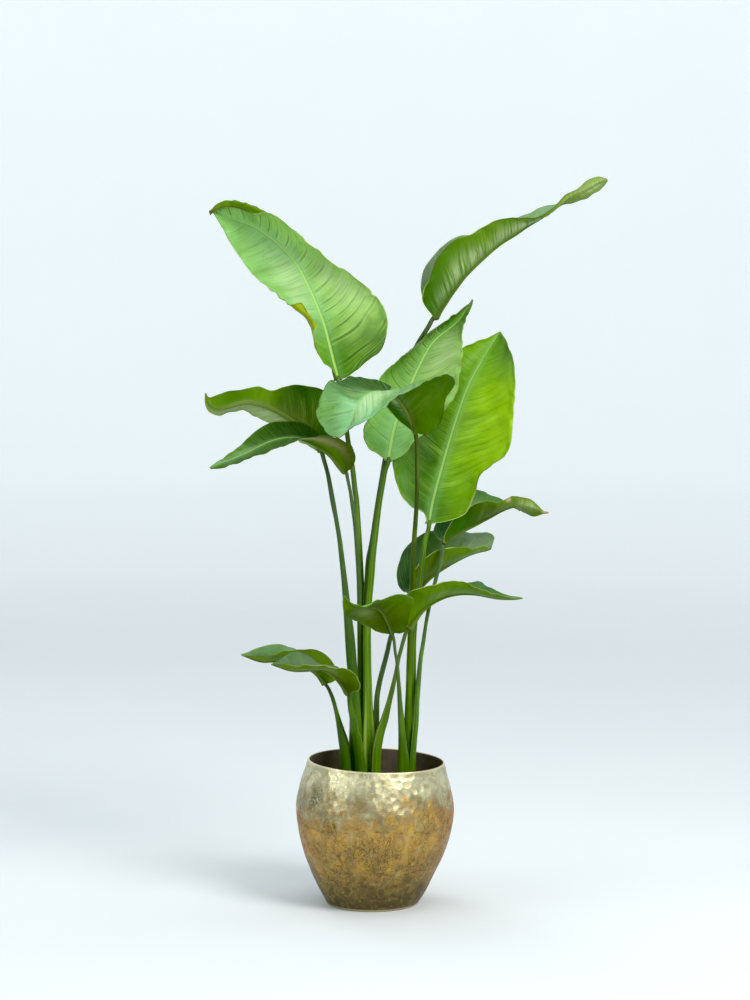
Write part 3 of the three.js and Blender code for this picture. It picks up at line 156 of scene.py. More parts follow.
        [-93.2, 9, 660.8, -56.9, 17.6, 700.1, -98.9, 43.9, 638.5, 3, 1],
        [-102.2, 10, 666.5, -68.6, 19.9, 712.6, -105.9, 48.9, 640.9, 4, 2],
        [-111.8, 11, 672.4, -87.2, 21.9, 717.7, -114.3, 51.6, 644.8, 4, 2],
        [-122.8, 12, 678.9, -105.1, 23.8, 719.7, -124.1, 52.9, 650.3, 4, 2],
        [-134.5, 13, 685.3, -122.4, 25.5, 716.1, -137.2, 53.1, 661.4, 3, 2],
        [-146.9, 14, 690.3, -139, 27, 711.4, -151.7, 52.2, 668.7, 2, 2],
        [-159.3, 15, 693.7, -155.5, 27.8, 716.6, -168.2, 50, 676.9, 2, 2],
        [-171.7, 16, 695.1, -170, 27.6, 714.8, -179.8, 46.5, 682.5, 2, 2],
        [-184.1, 17, 693.3, -184.4, 26.9, 711.6, -190, 41.6, 681.7, 1, 1],
        [-197.2, 18, 689.1, -198.9, 25.9, 710.3, -200.8, 35.8, 679.7, 1, 1],
        [-210.4, 19, 686.9, -211.2, 24.7, 706.1, -213, 29.6, 677.1, 0, 0],
        [-222.1, 20, 691, -222.2, 23.4, 702, -225.1, 24.6, 682.3, 0, 0],
        [-227.8, 20, 699.9, -226.2, 21.4, 703, -230.4, 21.2, 693.6, 0, 0],
        [-229.6, 20, 708.2, -228.9, 20, 708.2, -230.2, 20, 707.5, 0, 0],
    ],
    "left_lower": [
        [-36.3, -17, 604.6, -34.7, -18, 604.7, -37.4, -16, 605.9, 0, 0],
        [-40.1, -21, 609.1, -29.1, -26.4, 608.3, -41.6, -11.7, 617.2, 0, 0],
        [-45.1, -26, 615.1, -23.6, -35.9, 618.1, -47.1, -8.5, 627.9, 0, -1],
        [-51.6, -31, 623.8, -23.6, -45.4, 631.2, -53.9, -6.8, 637.4, 0, -2],
        [-59, -36, 631.3, -29.6, -55.5, 644.6, -60.8, -7.2, 645.7, 0, -3],
        [-67.8, -41, 638.1, -42.3, -67.1, 651.1, -68.9, -9.3, 654.1, 0, -3],
        [-77.8, -46, 644.2, -58.4, -78.7, 656.5, -77.7, -12.5, 660.5, 0, -4],
        [-87.9, -51, 649.4, -76.4, -88.4, 659, -87.9, -16.4, 666.6, -1, -4],
        [-97.9, -56, 653.2, -92.3, -95.3, 655.9, -98, -20.9, 670.8, -2, -4],
        [-109.3, -62, 654.8, -106.3, -100.9, 651.4, -110.8, -27.3, 672.8, -2, -4],
        [-122, -68, 654.1, -120.3, -105.2, 646.5, -124.2, -34.7, 673.4, -3, -4],
        [-135.3, -74, 651.1, -134.2, -108.7, 642, -138.9, -42.6, 671.6, -3, -4],
        [-148.6, -80, 646, -147.5, -111.6, 637.4, -153.6, -50.8, 663.9, -3, -3],
        [-162.5, -86, 639.2, -161.5, -113.4, 632.2, -168.2, -59.6, 653.4, -2, -3],
        [-177.1, -92, 632.7, -176.2, -114, 625.3, -182.7, -69.8, 640.9, -2, -2],
        [-191.7, -97, 627.1, -190.4, -112.5, 620.4, -195.8, -80.8, 631.3, -1, -1],
        [-204.9, -101, 622.7, -203.3, -109.1, 616.8, -208, -92.4, 624.6, 0, 0],
        [-217.5, -105, 616.4, -216.9, -105, 615, -218.2, -105, 617.3, 0, 0],
    ],
    "right_upper": [
        [98, 42, 500.7, 96.7, 43, 501.3, 98.7, 41, 501.5, 0, 0],
        [103.6, 42.5, 504.8, 89.2, 50.8, 505.3, 101.4, 35.5, 514, -1, -1],
        [110.6, 44.5, 508.8, 85.1, 58.7, 515.6, 107.5, 33.4, 525.4, -2, -1],
        [119.7, 47, 513.4, 95.7, 64.7, 534.5, 115.1, 33.1, 535.9, -3, -2],
        [130.2, 50, 518.4, 113.8, 68, 555.2, 124.1, 32.4, 544.3, -4, -2],
        [141.4, 53, 523.2, 130.6, 71.1, 567.5, 133.6, 29.2, 550.5, -5, -3],
        [153.3, 56, 528.8, 145.5, 77.3, 568.7, 143.9, 25.6, 556.9, -5, -5],
        [165.2, 59, 534.5, 159.7, 85, 564.7, 155.6, 25.2, 559.4, -5, -5],
        [177.1, 62, 540.7, 172.5, 90.6, 557.8, 168.9, 29.8, 556.8, -4, -4],
        [189.1, 65, 545.3, 186, 93, 551.9, 181.8, 39.8, 559.1, -3, -3],
        [200.4, 68, 547.5, 201.5, 92.8, 541.1, 194.8, 53.2, 562.1, -2, -2],
        [211.7, 71, 546.5, 211.9, 90.8, 535.9, 207.9, 65.7, 559.2, -1, -2],
        [222.3, 74, 543.4, 220.9, 88, 532, 220.2, 74.5, 555.5, -1, -1],
        [231.5, 76, 539.9, 230.6, 84.3, 531.4, 230.9, 78.5, 546.7, 0, 0],
        [238.6, 78, 537.6, 238.1, 81.6, 534.1, 238.7, 79.8, 539.1, 0, 0],
        [246.4, 80, 536.2, 245.7, 80, 535.5, 246.4, 80, 536.9, 0, 0],
    ],
    "right_back": [
        [52.3, 44, 429, 49.5, 45, 428.8, 53.7, 43, 429.8, 0, 0],
        [55.8, 47, 430.7, 41.3, 56.3, 429.5, 53.6, 37.7, 437.5, 0, 0],
        [60.7, 51, 433.2, 35.1, 66.3, 438.7, 55, 34.9, 447.7, 1, -1],
        [67.1, 56, 437.2, 34, 73.9, 456.1, 59.8, 34.6, 460.3, 2, -2],
        [74.8, 62, 443.5, 41.4, 80.4, 478.5, 66.1, 36.2, 469.9, 2, -3],
        [84, 69, 450.1, 57.6, 89, 496.9, 75.8, 39.5, 478.9, 2, -4],
        [95.4, 77, 456.7, 81, 102, 507.1, 89.8, 44.7, 487.4, 1, -5],
        [108.9, 86, 463.6, 105.2, 116.7, 506.1, 108, 51.8, 490.3, 0, -5],
        [123.1, 95, 470, 128.8, 127.4, 503.5, 125.7, 61.1, 489.7, 0, -5],
        [137.4, 103, 475.1, 149.5, 130.9, 501.2, 141.4, 72.4, 487.3, 0, -4],
        [150.3, 110, 478.1, 165, 128.5, 502, 153.7, 86.2, 489.4, 0, -3],
        [160.3, 115, 479.3, 172.6, 123.7, 496.1, 162.6, 100.2, 485.4, 0, -1],
        [166.8, 119, 481, 169.7, 121.5, 485, 166.6, 112.7, 482.4, 0, 0],
        [168.3, 120, 483, 169, 120, 483.7, 167.6, 120, 482.3, 0, 0],
    ],
    "low_front": [
        [26.8, -52, 385.4, 28.8, -52, 386.7, 25.4, -52, 384, 0, 0],
        [24.4, -57, 392.3, 39, -56.1, 386, 15.9, -54.1, 385.7, 0, 0],
        [21.3, -63, 400, 46.5, -61.6, 393.6, 6.3, -57.4, 388.9, 1, 0],
        [17.6, -71, 408.7, 49.7, -70.7, 410, -2.5, -63.5, 393.9, 1, 1],
        [13.1, -80, 417.5, 53.7, -83.2, 426.1, -10.7, -71.6, 399.2, 2, 1],
        [7.7, -91, 424.5, 54.8, -100.2, 439.3, -18.7, -82.8, 405.6, 2, 2],
        [0.9, -103, 428.4, 41.2, -118.6, 448.2, -25.4, -96.2, 410.2, 1, 2],
        [-6.5, -115, 430.5, 22.3, -134.2, 446.6, -30.7, -110.3, 414.9, 0, 2],
        [-14.5, -127, 431.8, 6.3, -145.8, 442.1, -35.3, -124.7, 420.3, 0, 1],
        [-22.4, -138, 433.9, -7, -153.2, 436.4, -38.2, -137.8, 427.6, 0, 1],
        [-29, -148, 438.4, -19, -158.2, 439.4, -39.4, -149.1, 435.2, 0, 0],
        [-35, -156, 444.9, -29.6, -161.1, 443.8, -39.6, -157.1, 443.7, 0, 0],
        [-38.2, -162, 452.4, -37.6, -162, 452.4, -38.9, -162, 451.7, 0, 0],
    ],
    "low_right": [
        [48.9, -26, 388.5, 47.8, -25, 389, 49.5, -27, 389.3, 0, 0],
        [53, -26, 395.4, 47.5, -22, 404.5, 44.7, -31, 404.4, 0, -1],
        [57.8, -26, 402.3, 50.3, -19.1, 416.6, 43.9, -36.6, 420.4, -1, -2],
        [63.2, -25.5, 409.6, 54.4, -15.4, 425.8, 45.9, -43.2, 433.7, -2, -3],
        [70.1, -25, 416.7, 61.4, -9.6, 434, 54, -50.5, 442.9, -3, -4],
        [79, -24, 423.2, 72.5, -0.5, 438.4, 66.2, -56.2, 448.3, -4, -5],
        [90, -22.5, 428.8, 86.4, 9.3, 441.3, 80.4, -58.3, 452.2, -4, -5],
        [102.4, -20.5, 433.1, 101.8, 16.5, 443.8, 96.1, -57.3, 458.1, -4, -5],
        [116.2, -18, 435.6, 117.8, 20.2, 444, 111.8, -54.2, 457.6, -4, -5],
        [130, -15, 435.7, 133, 21.4, 445.3, 127.6, -49.6, 454.6, -4, -4],
        [143.8, -12, 434.2, 147.5, 20.5, 446.8, 142.1, -43.4, 448.2, -3, -4],
        [157.7, -8, 430.9, 160.7, 19.4, 440.6, 156.7, -34.5, 440.3, -2, -3],
        [171.6, -4, 427.6, 173.1, 17.2, 434.6, 170.8, -24.1, 435.4, -1, -2],
        [185.6, 0, 425.9, 186.8, 14, 429.3, 185, -13, 430.5, 0, -1],
        [198.1, 3, 425.4, 198.4, 9.8, 427.7, 197.8, -3.3, 427.4, 0, 0],
        [207.6, 5, 425.8, 207.6, 5, 426.4, 207.3, 5, 425.4, 0, 0],
    ],
    "small_back": [
        [-64, -10, 308.2, -62.6, -11, 308.4, -65.4, -9, 309.5, 0, 0],
        [-67.4, -9.5, 313.7, -54.3, -10.2, 311, -71, 1.1, 319, 0, 0],
        [-72.2, -9, 319.9, -48.8, -10.9, 316.7, -76, 9.5, 328.2, -1, -1],
        [-78.5, -8, 325.6, -48.7, -13.3, 326.2, -82.3, 16.1, 336.2, -2, -2],
        [-86.1, -7, 330.5, -53.5, -15.9, 337.7, -89.4, 20.7, 343.2, -3, -2],
        [-95.7, -5, 335.3, -61.7, -16.9, 348.6, -97.8, 24.8, 348.2, -3, -3],
        [-106.8, -3, 338.9, -76.1, -18.9, 357.5, -106.1, 27.4, 352, -3, -3],
        [-118.6, 0, 340.4, -95.3, -20.8, 358.9, -115.9, 28.9, 355.3, -3, -3],
        [-130.5, 3, 339.8, -114.6, -20.6, 357.2, -127, 27.9, 357.7, -3, -3],
        [-141.6, 6, 338.1, -131.2, -16.6, 352.3, -139.4, 25.1, 358.3, -2, -2],
        [-152.8, 9, 337.5, -146.6, -9.7, 349.1, -151.8, 22.1, 356.3, -1, -1],
        [-163.2, 11, 339.7, -159.3, -2, 347, -163.5, 19, 352.9, 0, -1],
        [-172.3, 13, 342.6, -170, 6.4, 345.8, -172.4, 16.8, 349, 0, 0],
        [-182.1, 15, 345.5, -181.7, 15, 345.1, -182.1, 15, 346.1, 0, 0],
    ],
    "small_front": [
        [-32.1, -34, 301, -30, -35, 300.5, -34.1, -33, 302.2, 0, 0],
        [-34.5, -38, 305.8, -19.7, -44.2, 304.3, -36.2, -30.8, 314.4, 0, 0],
        [-38.4, -43, 312.2, -16.2, -54.9, 313.4, -39.6, -29.8, 324.6, -1, -1],
        [-43.6, -49, 319.4, -18.9, -66.5, 323.6, -43.7, -30.3, 333, -2, -2],
        [-49.6, -55, 326.6, -24.2, -77.1, 333.5, -48.5, -31.9, 337.4, -2, -2],
        [-57, -61, 333.3, -33.7, -86.5, 341.2, -54.6, -34.7, 339.5, -3, -2],
        [-65.1, -66, 337.9, -44.4, -94, 344.8, -61.5, -38.1, 340.8, -3, -3],
        [-74.6, -71, 339.6, -57.2, -100.3, 348, -70.9, -43.7, 342.2, -3, -3],
        [-84.7, -76, 339.2, -71.2, -105, 349.8, -81, -52, 351.2, -3, -3],
        [-94.7, -81, 339.1, -85.3, -108.1, 349.9, -92.4, -61.8, 359.8, -2, -3],
        [-104.8, -85, 339.6, -98.8, -108.5, 350.1, -103.1, -70.3, 362.9, -2, -2],
        [-114.9, -89, 341.7, -111.6, -107.4, 350.4, -113.8, -77.5, 361.7, -1, -1],
        [-124.2, -92, 345, -121.8, -104.3, 350.9, -123.8, -83.5, 356, -1, 0],
        [-130.9, -94, 347.4, -130.1, -100, 350.3, -131.1, -89.3, 352, 0, 0],
        [-136.3, -95, 348.9, -135.6, -95, 348.4, -136.6, -95, 349.5, 0, 0],
    ],
}

# Leaf stalks, from the blade down to the mouth of the pot: x y z and width.
STALKS = {
    "small_back": [
        [-64, -10, 306.8, 5],
        [-59.6, -10, 299.8, 5],
        [-54.1, -10, 285.9, 5.5],
        [-50.5, -10, 271.9, 5.5],
        [-47.1, -10, 257.9, 7],
        [-43.9, -10, 244, 9],
        [-40.7, -10.5, 230.1, 11.5],
        [-38.5, -11, 216.1, 12],
        [-37.2, -11, 190.9, 12.4],
    ],
    "small_front": [
        [-32.1, -33.5, 299.5, 6.5],
        [-31.5, -32, 289.6, 6.5],
        [-29.7, -29, 275.2, 7.5],
        [-26.4, -26, 260.7, 9],
        [-24.6, -23, 246.3, 9.7],
        [-20.5, -20, 231.8, 9.8],
        [-18.5, -18, 217.4, 11],
        [-16.4, -16, 191.9, 11.5],
    ],
    "left_upper": [
        [-69.2, 5, 626.7, 6.5],
        [-66.6, 5, 617, 6.2],
        [-62.6, 4, 603.3, 5.8],
        [-59.6, 4, 589.5, 6],
        [-54.8, 3, 562, 6.8],
        [-49.6, 2, 534.4, 6.6],
        [-45.1, 1, 506.9, 7],
        [-41.8, 1, 479.1, 7.6],
        [-38.7, 0, 451.5, 8.3],
        [-36, 0, 423.7, 9.8],
        [-33.4, 0, 395.9, 11.5],
        [-30.9, 0, 368, 13.5],
        [-28.9, 0, 340.1, 14.5],
        [-25.4, 0, 298.2, 15],
        [-23.4, 0, 256.2, 15],
        [-22.7, 0, 214.1, 15],
        [-22.7, 0, 188.8, 15],
    ],
    "left_lower": [
        [-36.3, -17, 603.5, 6],
        [-33.5, -15, 591.4, 5.5],
        [-30.6, -13, 577.4, 5.5],
        [-28.3, -10, 563.4, 6.2],
        [-24.5, -6, 535.3, 6.5],
        [-22, -2, 507.2, 6.8],
        [-20.1, 2, 479, 7],
        [-18.5, 6, 450.7, 7.5],
        [-17.7, 9, 422.5, 8],
        [-17.4, 12, 366.2, 8],
        [-17.2, 14, 309.9, 8],
        [-16.5, 15, 253.6, 8.5],
        [-16.6, 15, 186, 8.5],
    ],
    "top_left": [
        [-46.3, 20, 724.7, 7],
        [-42.5, 19, 698.6, 6.5],
        [-38.8, 17, 674, 6.5],
        [-35.2, 15, 654.8, 7],
        [-31.6, 14, 630, 7],
        [-27, 14, 602.4, 7],
        [-24, 14, 574.7, 7.5],
        [-21.9, 15, 560.7, 7.5],
        [-20.1, 16, 532.9, 8],
        [-18.5, 18, 504.9, 8.5],
        [-17.3, 20, 476.8, 9],
        [-15.8, 22, 448.7, 9],
        [-14.4, 25, 420.3, 9],
        [-13.3, 28, 363.9, 9],
        [-12.8, 29, 293.5, 9.5],
        [-12.4, 28.5, 183.5, 9.5],
    ],
    "top_right": [
        [83.6, 30, 810.9, 7.5],
        [76.6, 34, 798.3, 8],
        [61.6, 46, 772.8, 8],
        [52, 52, 750.3, 8],
        [38.2, 50.5, 707.4, 8],
        [26.4, 36, 664.2, 8],
        [16.6, 24, 615.3, 7],
        [12, 21.5, 587.8, 7],
        [7.5, 19, 560.3, 7],
        [3.5, 17, 532.8, 7.5],
        [-0.5, 16, 505.1, 8],
        [-5.8, 16, 477.3, 8.5],
        [-7.7, 16, 449.4, 8.5],
        [-8.9, 16, 421.5, 9],
        [-8.9, 17, 365.5, 9],
        [-7.8, 18, 295.3, 9],
        [-6.1, 19, 185.3, 9.5],
    ],
    "centre": [
        [21.9, 8, 614, 6.5],
        [18.2, 8, 603, 6.5],
        [15.4, 7, 589.2, 6.8],
        [10.3, 6, 561.7, 7.5],
        [6.4, 5, 534.1, 8],
        [3, 4, 506.5, 8.5],
        [0, 3.5, 478.8, 9],
        [-2.2, 3, 451.1, 9.5],
        [-4.8, 3, 423.3, 10],
        [-6.5, 3, 395.5, 10.5],
        [-7.4, 3, 367.6, 11],
        [-7, 3, 339.7, 11.5],
        [-6.4, 3, 297.7, 12],
        [-5.7, 3, 241.7, 12.5],
        [-5, 3, 188.3, 12.8],
    ],
    "front_folded": [
        [58, -38, 658.1, 6.5],
        [60, -37, 648.2, 6.2],
        [60.8, -33, 620.5, 6.1],
        [60.9, -29, 592.8, 6.1],
        [60.7, -25, 564.9, 6.2],
        [59.2, -20, 536.9, 6.8],
        [57.4, -15, 508.7, 7.4],
        [56.2, -11, 480.6, 7.3],
        [54.8, -7, 452.4, 7.4],
        [54, -4, 424.3, 7.6],
        [51.9, -2, 368.3, 8],
        [50.6, 0, 312.2, 8.6],
        [49.3, 1, 256, 9.5],
        [50.1, 2, 188.5, 10.5],
    ],
    "right_large": [
        [78.2, 18, 525.7, 6.5],
        [77.2, 18, 518.8, 6.2],
        [72.7, 17, 503.6, 7],
        [69, 16, 477.3, 8],
        [65.8, 15, 449.6, 7],
        [63.1, 15, 421.7, 7],
        [59.7, 15, 393.8, 7],
        [57.6, 15, 365.8, 7],
        [56.7, 15, 309.8, 7.5],
        [55.4, 16, 253.4, 8.5],
        [54.4, 16, 185.8, 9.5],
    ],
    "right_upper": [
        [98.3, 42, 499.6, 6.5],
        [97.1, 40, 488.3, 6.8],
        [94.8, 38, 474.6, 7],
        [91, 35, 461, 6.8],
        [87.6, 33, 447.2, 6.5],
        [80.6, 28, 419.9, 6.2],
        [75, 23, 392.6, 6.2],
        [70.8, 18, 365.4, 6.8],
        [66.4, 13.5, 338, 7.2],
        [63.8, 9, 310.7, 8],
        [61.7, 4, 283.5, 8.2],
        [60.3, -1, 256.4, 8.5],
        [57.8, -5.5, 229.2, 8.8],
        [55.2, -12, 191.1, 9],
    ],
    "right_back": [
        [51.9, 44, 427.6, 6],
        [44.6, 41, 411.1, 6],
        [35.6, 36, 390.8, 6.5],
        [25.8, 30, 369.2, 7.5],
        [21.2, 25, 350.3, 7.6],
        [17.8, 22, 336.7, 7.6],
        [14, 19, 323.2, 8],
        [10.5, 16, 309.6, 8.2],
        [7.8, 13, 296.1, 8.6],
        [6.1, 11, 282.4, 9],
        [5.4, 9, 254.6, 9],
        [5, 9, 226.5, 9],
        [5.4, 9, 187.1, 9],
    ],
    "low_right": [
        [47.9, -26, 387.1, 6.5],
        [42.7, -25, 371.7, 6.8],
        [39, -24, 357.7, 6.3],
        [35.5, -23, 343.7, 6.3],
        [33.2, -22, 329.6, 6.9],
        [30.1, -21, 315.6, 7.2],
        [27, -19, 301.3, 8.3],
        [23.6, -17, 287.1, 8.3],
        [20.1, -15, 272.8, 9.5],
        [16.4, -13, 258.5, 11],
        [11.6, -11.5, 244.2, 12],
        [8.4, -10.5, 230.1, 12],
        [6.1, -10, 216, 12],
        [5, -9.5, 190.6, 12],
    ],
    "low_front": [
        [27.2, -52, 384, 4.5],
        [29.5, -50.5, 375.5, 4.5],
        [30.9, -47.5, 361.3, 4.5],
        [33.1, -44.5, 347, 4.6],
        [34.9, -41.5, 332.7, 5],
        [35.7, -38.5, 318.4, 5.2],
        [36.8, -35.5, 304, 5.8],
        [37.6, -32.5, 289.6, 6.3],
        [39.6, -27, 260.9, 8],
        [41.2, -21, 231.9, 9.5],
        [42.7, -17.5, 210.3, 12],
        [43.4, -16, 191.9, 13],
    ],
}

POT_LEAN, RIM_TILT, POT_HEIGHT = 0.027, 0.031, 200.0
CROWN_TOP = 151.0

# ------------------------------------------------------------------ helpers


def waves(seed, scale, count=28):
    """Smooth seeded noise, about -1..1, as a sum of waves about `scale` mm long."""
    r = np.random.default_rng(seed)
    d = r.normal(size=(count, 3))
    d /= np.linalg.norm(d, axis=1)[:, None]
    k = d * (2 * math.pi / (scale * r.uniform(0.7, 1.5, count)))[:, None]
    ph = r.uniform(0, 2 * math.pi, count)
    a = 1.6 / math.sqrt(count)

    def f(p):
        p = np.asarray(p, float)
        out = np.zeros(p.shape[:-1])
        for i in range(count):
            out += np.sin(p @ k[i] + ph[i])
        return np.clip(out * a, -1.6, 1.6)

    return f


def smooth(x, a, b):
    t = np.clip((x - a) / (b - a), 0, 1)
    return t * t * (3 - 2 * t)


def unit(a):
    return a / np.maximum(np.linalg.norm(a, axis=-1, keepdims=True), 1e-9)


def spline(rows, t):
    """Catmull-Rom through rows at parameters t (0..len-1)."""
    rows = np.asarray(rows, float)
    n = len(rows)
    i = np.clip(np.floor(t).astype(int), 0, n - 2)
    f = (t - i)[:, None]
    ext = np.vstack([2 * rows[0] - rows[1], rows, 2 * rows[-1] - rows[-2]])
    p0, p1, p2, p3 = ext[i], ext[i + 1], ext[i + 2], ext[i + 3]
    return 0.5 * (2 * p1 + (p2 - p0) * f + (2 * p0 - 5 * p1 + 4 * p2 - p3) * f**2 + (3 * p1 - p0 - 3 * p2 + p3) * f**3)


def even(rows, step, first=3):
    """Rows resampled about every `step` mm along their first three columns."""
    rows = np.asarray(rows, float)
    t = np.linspace(0, len(rows) - 1, 40 * len(rows))
    p = spline(rows, t)
    s = np.concatenate([[0], np.cumsum(np.linalg.norm(np.diff(p[:, :first], axis=0), axis=1))])
    n = max(int(s[-1] / step), 8)
    at = np.interp(np.linspace(0, s[-1], n + 1), s, t)
    return spline(rows, at), np.linspace(0, s[-1], n + 1)


def make(name, points, faces, attrs=(), tint=None):
    """A mesh object from millimetre points, numpy faces (m, 3 or 4) and per-point values."""
    points = np.asarray(points, np.float32) / 1000
    me = bpy.data.meshes.new(name)
    groups = [np.asarray(f, np.int32) for f in (faces if isinstance(faces, list) else [faces])]
    sizes = np.concatenate([np.full(len(g), g.shape[1], np.int32) for g in groups])
    loops = np.concatenate([g.ravel() for g in groups])
    me.vertices.add(len(points))
    me.vertices.foreach_set("co", points.ravel())
    me.loops.add(len(loops))
    me.loops.foreach_set("vertex_index", loops)
    me.polygons.add(len(sizes))
    me.polygons.foreach_set("loop_start", np.concatenate([[0], np.cumsum(sizes)[:-1]]).astype(np.int32))
    me.update(calc_edges=True)
    me.validate()
    me.shade_smooth()
    for key, values in dict(attrs).items():
        a = me.attributes.new(key, "FLOAT", "POINT")
        a.data.foreach_set("value", np.asarray(values, np.float32).ravel())
    if tint is not None:
        a = me.attributes.new("tint", "FLOAT_COLOR", "POINT")
        rgba = np.ones((len(points), 4), np.float32)
        rgba[:, :3] = tint
        a.data.foreach_set("color", rgba.ravel())
    ob = bpy.data.objects.new(name, me)
    bpy.context.scene.collection.objects.link(ob)
    return ob


def ring_faces(rings, n, closed=True):
    i = np.arange(rings - 1)[:, None] * n
    k = np.arange(n if closed else n - 1)[None, :]
    k2 = (k + 1) % n
    return np.stack([i + k, i + k2, i + n + k2, i + n + k], -1).reshape(-1, 4)


def srgb(*c):
    c = np.array(c, float) / 255
    return np.where(c <= 0.04045, c / 12.92, ((c + 0.055) / 1.055) ** 2.4)


def lean(p):
    p = np.array(p, float)
    x, z = p[..., 0].copy(), p[..., 2].copy()
    p[..., 0] = x + POT_LEAN * z
    p[..., 2] = z - RIM_TILT * x * (z / POT_HEIGHT)
    return p


# ------------------------------------------------------------------ node materials


class Nodes:
    """Short hand for building one material's node tree."""

    def __init__(self, name):
        self.mat = bpy.data.materials.new(name)
        self.mat.use_nodes = True
        self.t = self.mat.node_tree
        self.t.nodes.clear()
        self.out = self.t.nodes.new("ShaderNodeOutputMaterial")
        self.bsdf = self.t.nodes.new("ShaderNodeBsdfPrincipled")
        self.t.links.new(self.bsdf.outputs[0], self.out.inputs[0])

    def put(self, socket, value):
        if isinstance(value, bpy.types.NodeSocket):
            self.t.links.new(value, socket)
        elif isinstance(value, (tuple, list, np.ndarray)) and len(socket.default_value) == 4:
            socket.default_value = (*[float(v) for v in value[:3]], 1.0)
        elif isinstance(value, (tuple, list, np.ndarray)):
            socket.default_value = [float(v) for v in value]
        else:
            socket.default_value = value

    def set(self, name, value):
        self.put(self.bsdf.inputs[name], value)

    def attr(self, name, out="Fac"):
        n = self.t.nodes.new("ShaderNodeAttribute")
        n.attribute_name = name
        return n.outputs[out]

    def coords(self):
        return self.t.nodes.new("ShaderNodeTexCoord").outputs["Object"]

    def mapped(self, scale, vector=None):
        n = self.t.nodes.new("ShaderNodeMapping")
        self.put(n.inputs["Vector"], self.coords() if vector is None else vector)
        n.inputs["Scale"].default_value = scale
        return n.outputs[0]

    def math(self, op, a, b=None, c=None, clamp=False):
        n = self.t.nodes.new("ShaderNodeMath")
        n.operation = op
        n.use_clamp = clamp
        for i, v in enumerate((a, b, c)):
            if v is not None:
                self.put(n.inputs[i], v)
        return n.outputs[0]

    def step(self, x, a, b, lo=0.0, hi=1.0):
        n = self.t.nodes.new("ShaderNodeMapRange")
        n.interpolation_type = "SMOOTHSTEP"
        self.put(n.inputs["Value"], x)
        for key, v in (("From Min", a), ("From Max", b), ("To Min", lo), ("To Max", hi)):
            self.put(n.inputs[key], v)
        return n.outputs[0]

    def noise(self, scale, detail=3.0, rough=0.55, vector=None, distort=0.0, out="Fac"):
        n = self.t.nodes.new("ShaderNodeTexNoise")
        self.put(n.inputs["Vector"], self.coords() if vector is None else vector)
        n.inputs["Scale"].default_value = scale
        n.inputs["Detail"].default_value = detail
        n.inputs["Roughness"].default_value = rough
        n.inputs["Distortion"].default_value = distort
        return n.outputs[out]

    def voronoi(self, scale, feature="F1", vector=None, out="Distance", random=1.0):
        n = self.t.nodes.new("ShaderNodeTexVoronoi")
        n.feature = feature
        self.put(n.inputs["Vector"], self.coords() if vector is None else vector)
        n.inputs["Scale"].default_value = scale
        n.inputs["Randomness"].default_value = random
        return n.outputs[out]

    def mix(self, f, a, b, kind="MIX"):
        n = self.t.nodes.new("ShaderNodeMix")
        n.data_type = "RGBA"
        n.blend_type = kind
        n.clamp_factor = True
        self.put(n.inputs[0], f)
        self.put(n.inputs[6], a)
        self.put(n.inputs[7], b)
        return n.outputs[2]

    def joined(self, x, y, z):
        n = self.t.nodes.new("ShaderNodeCombineXYZ")
        for i, v in enumerate((x, y, z)):
            self.put(n.inputs[i], v)
        return n.outputs[0]

    def bump(self, height, strength, distance, normal=None):
        n = self.t.nodes.new("ShaderNodeBump")
        n.inputs["Strength"].default_value = strength
        n.inputs["Distance"].default_value = distance
        self.put(n.inputs["Height"], height)
        if normal is not None:
            self.put(n.inputs["Normal"], normal)
        return n.outputs[0]


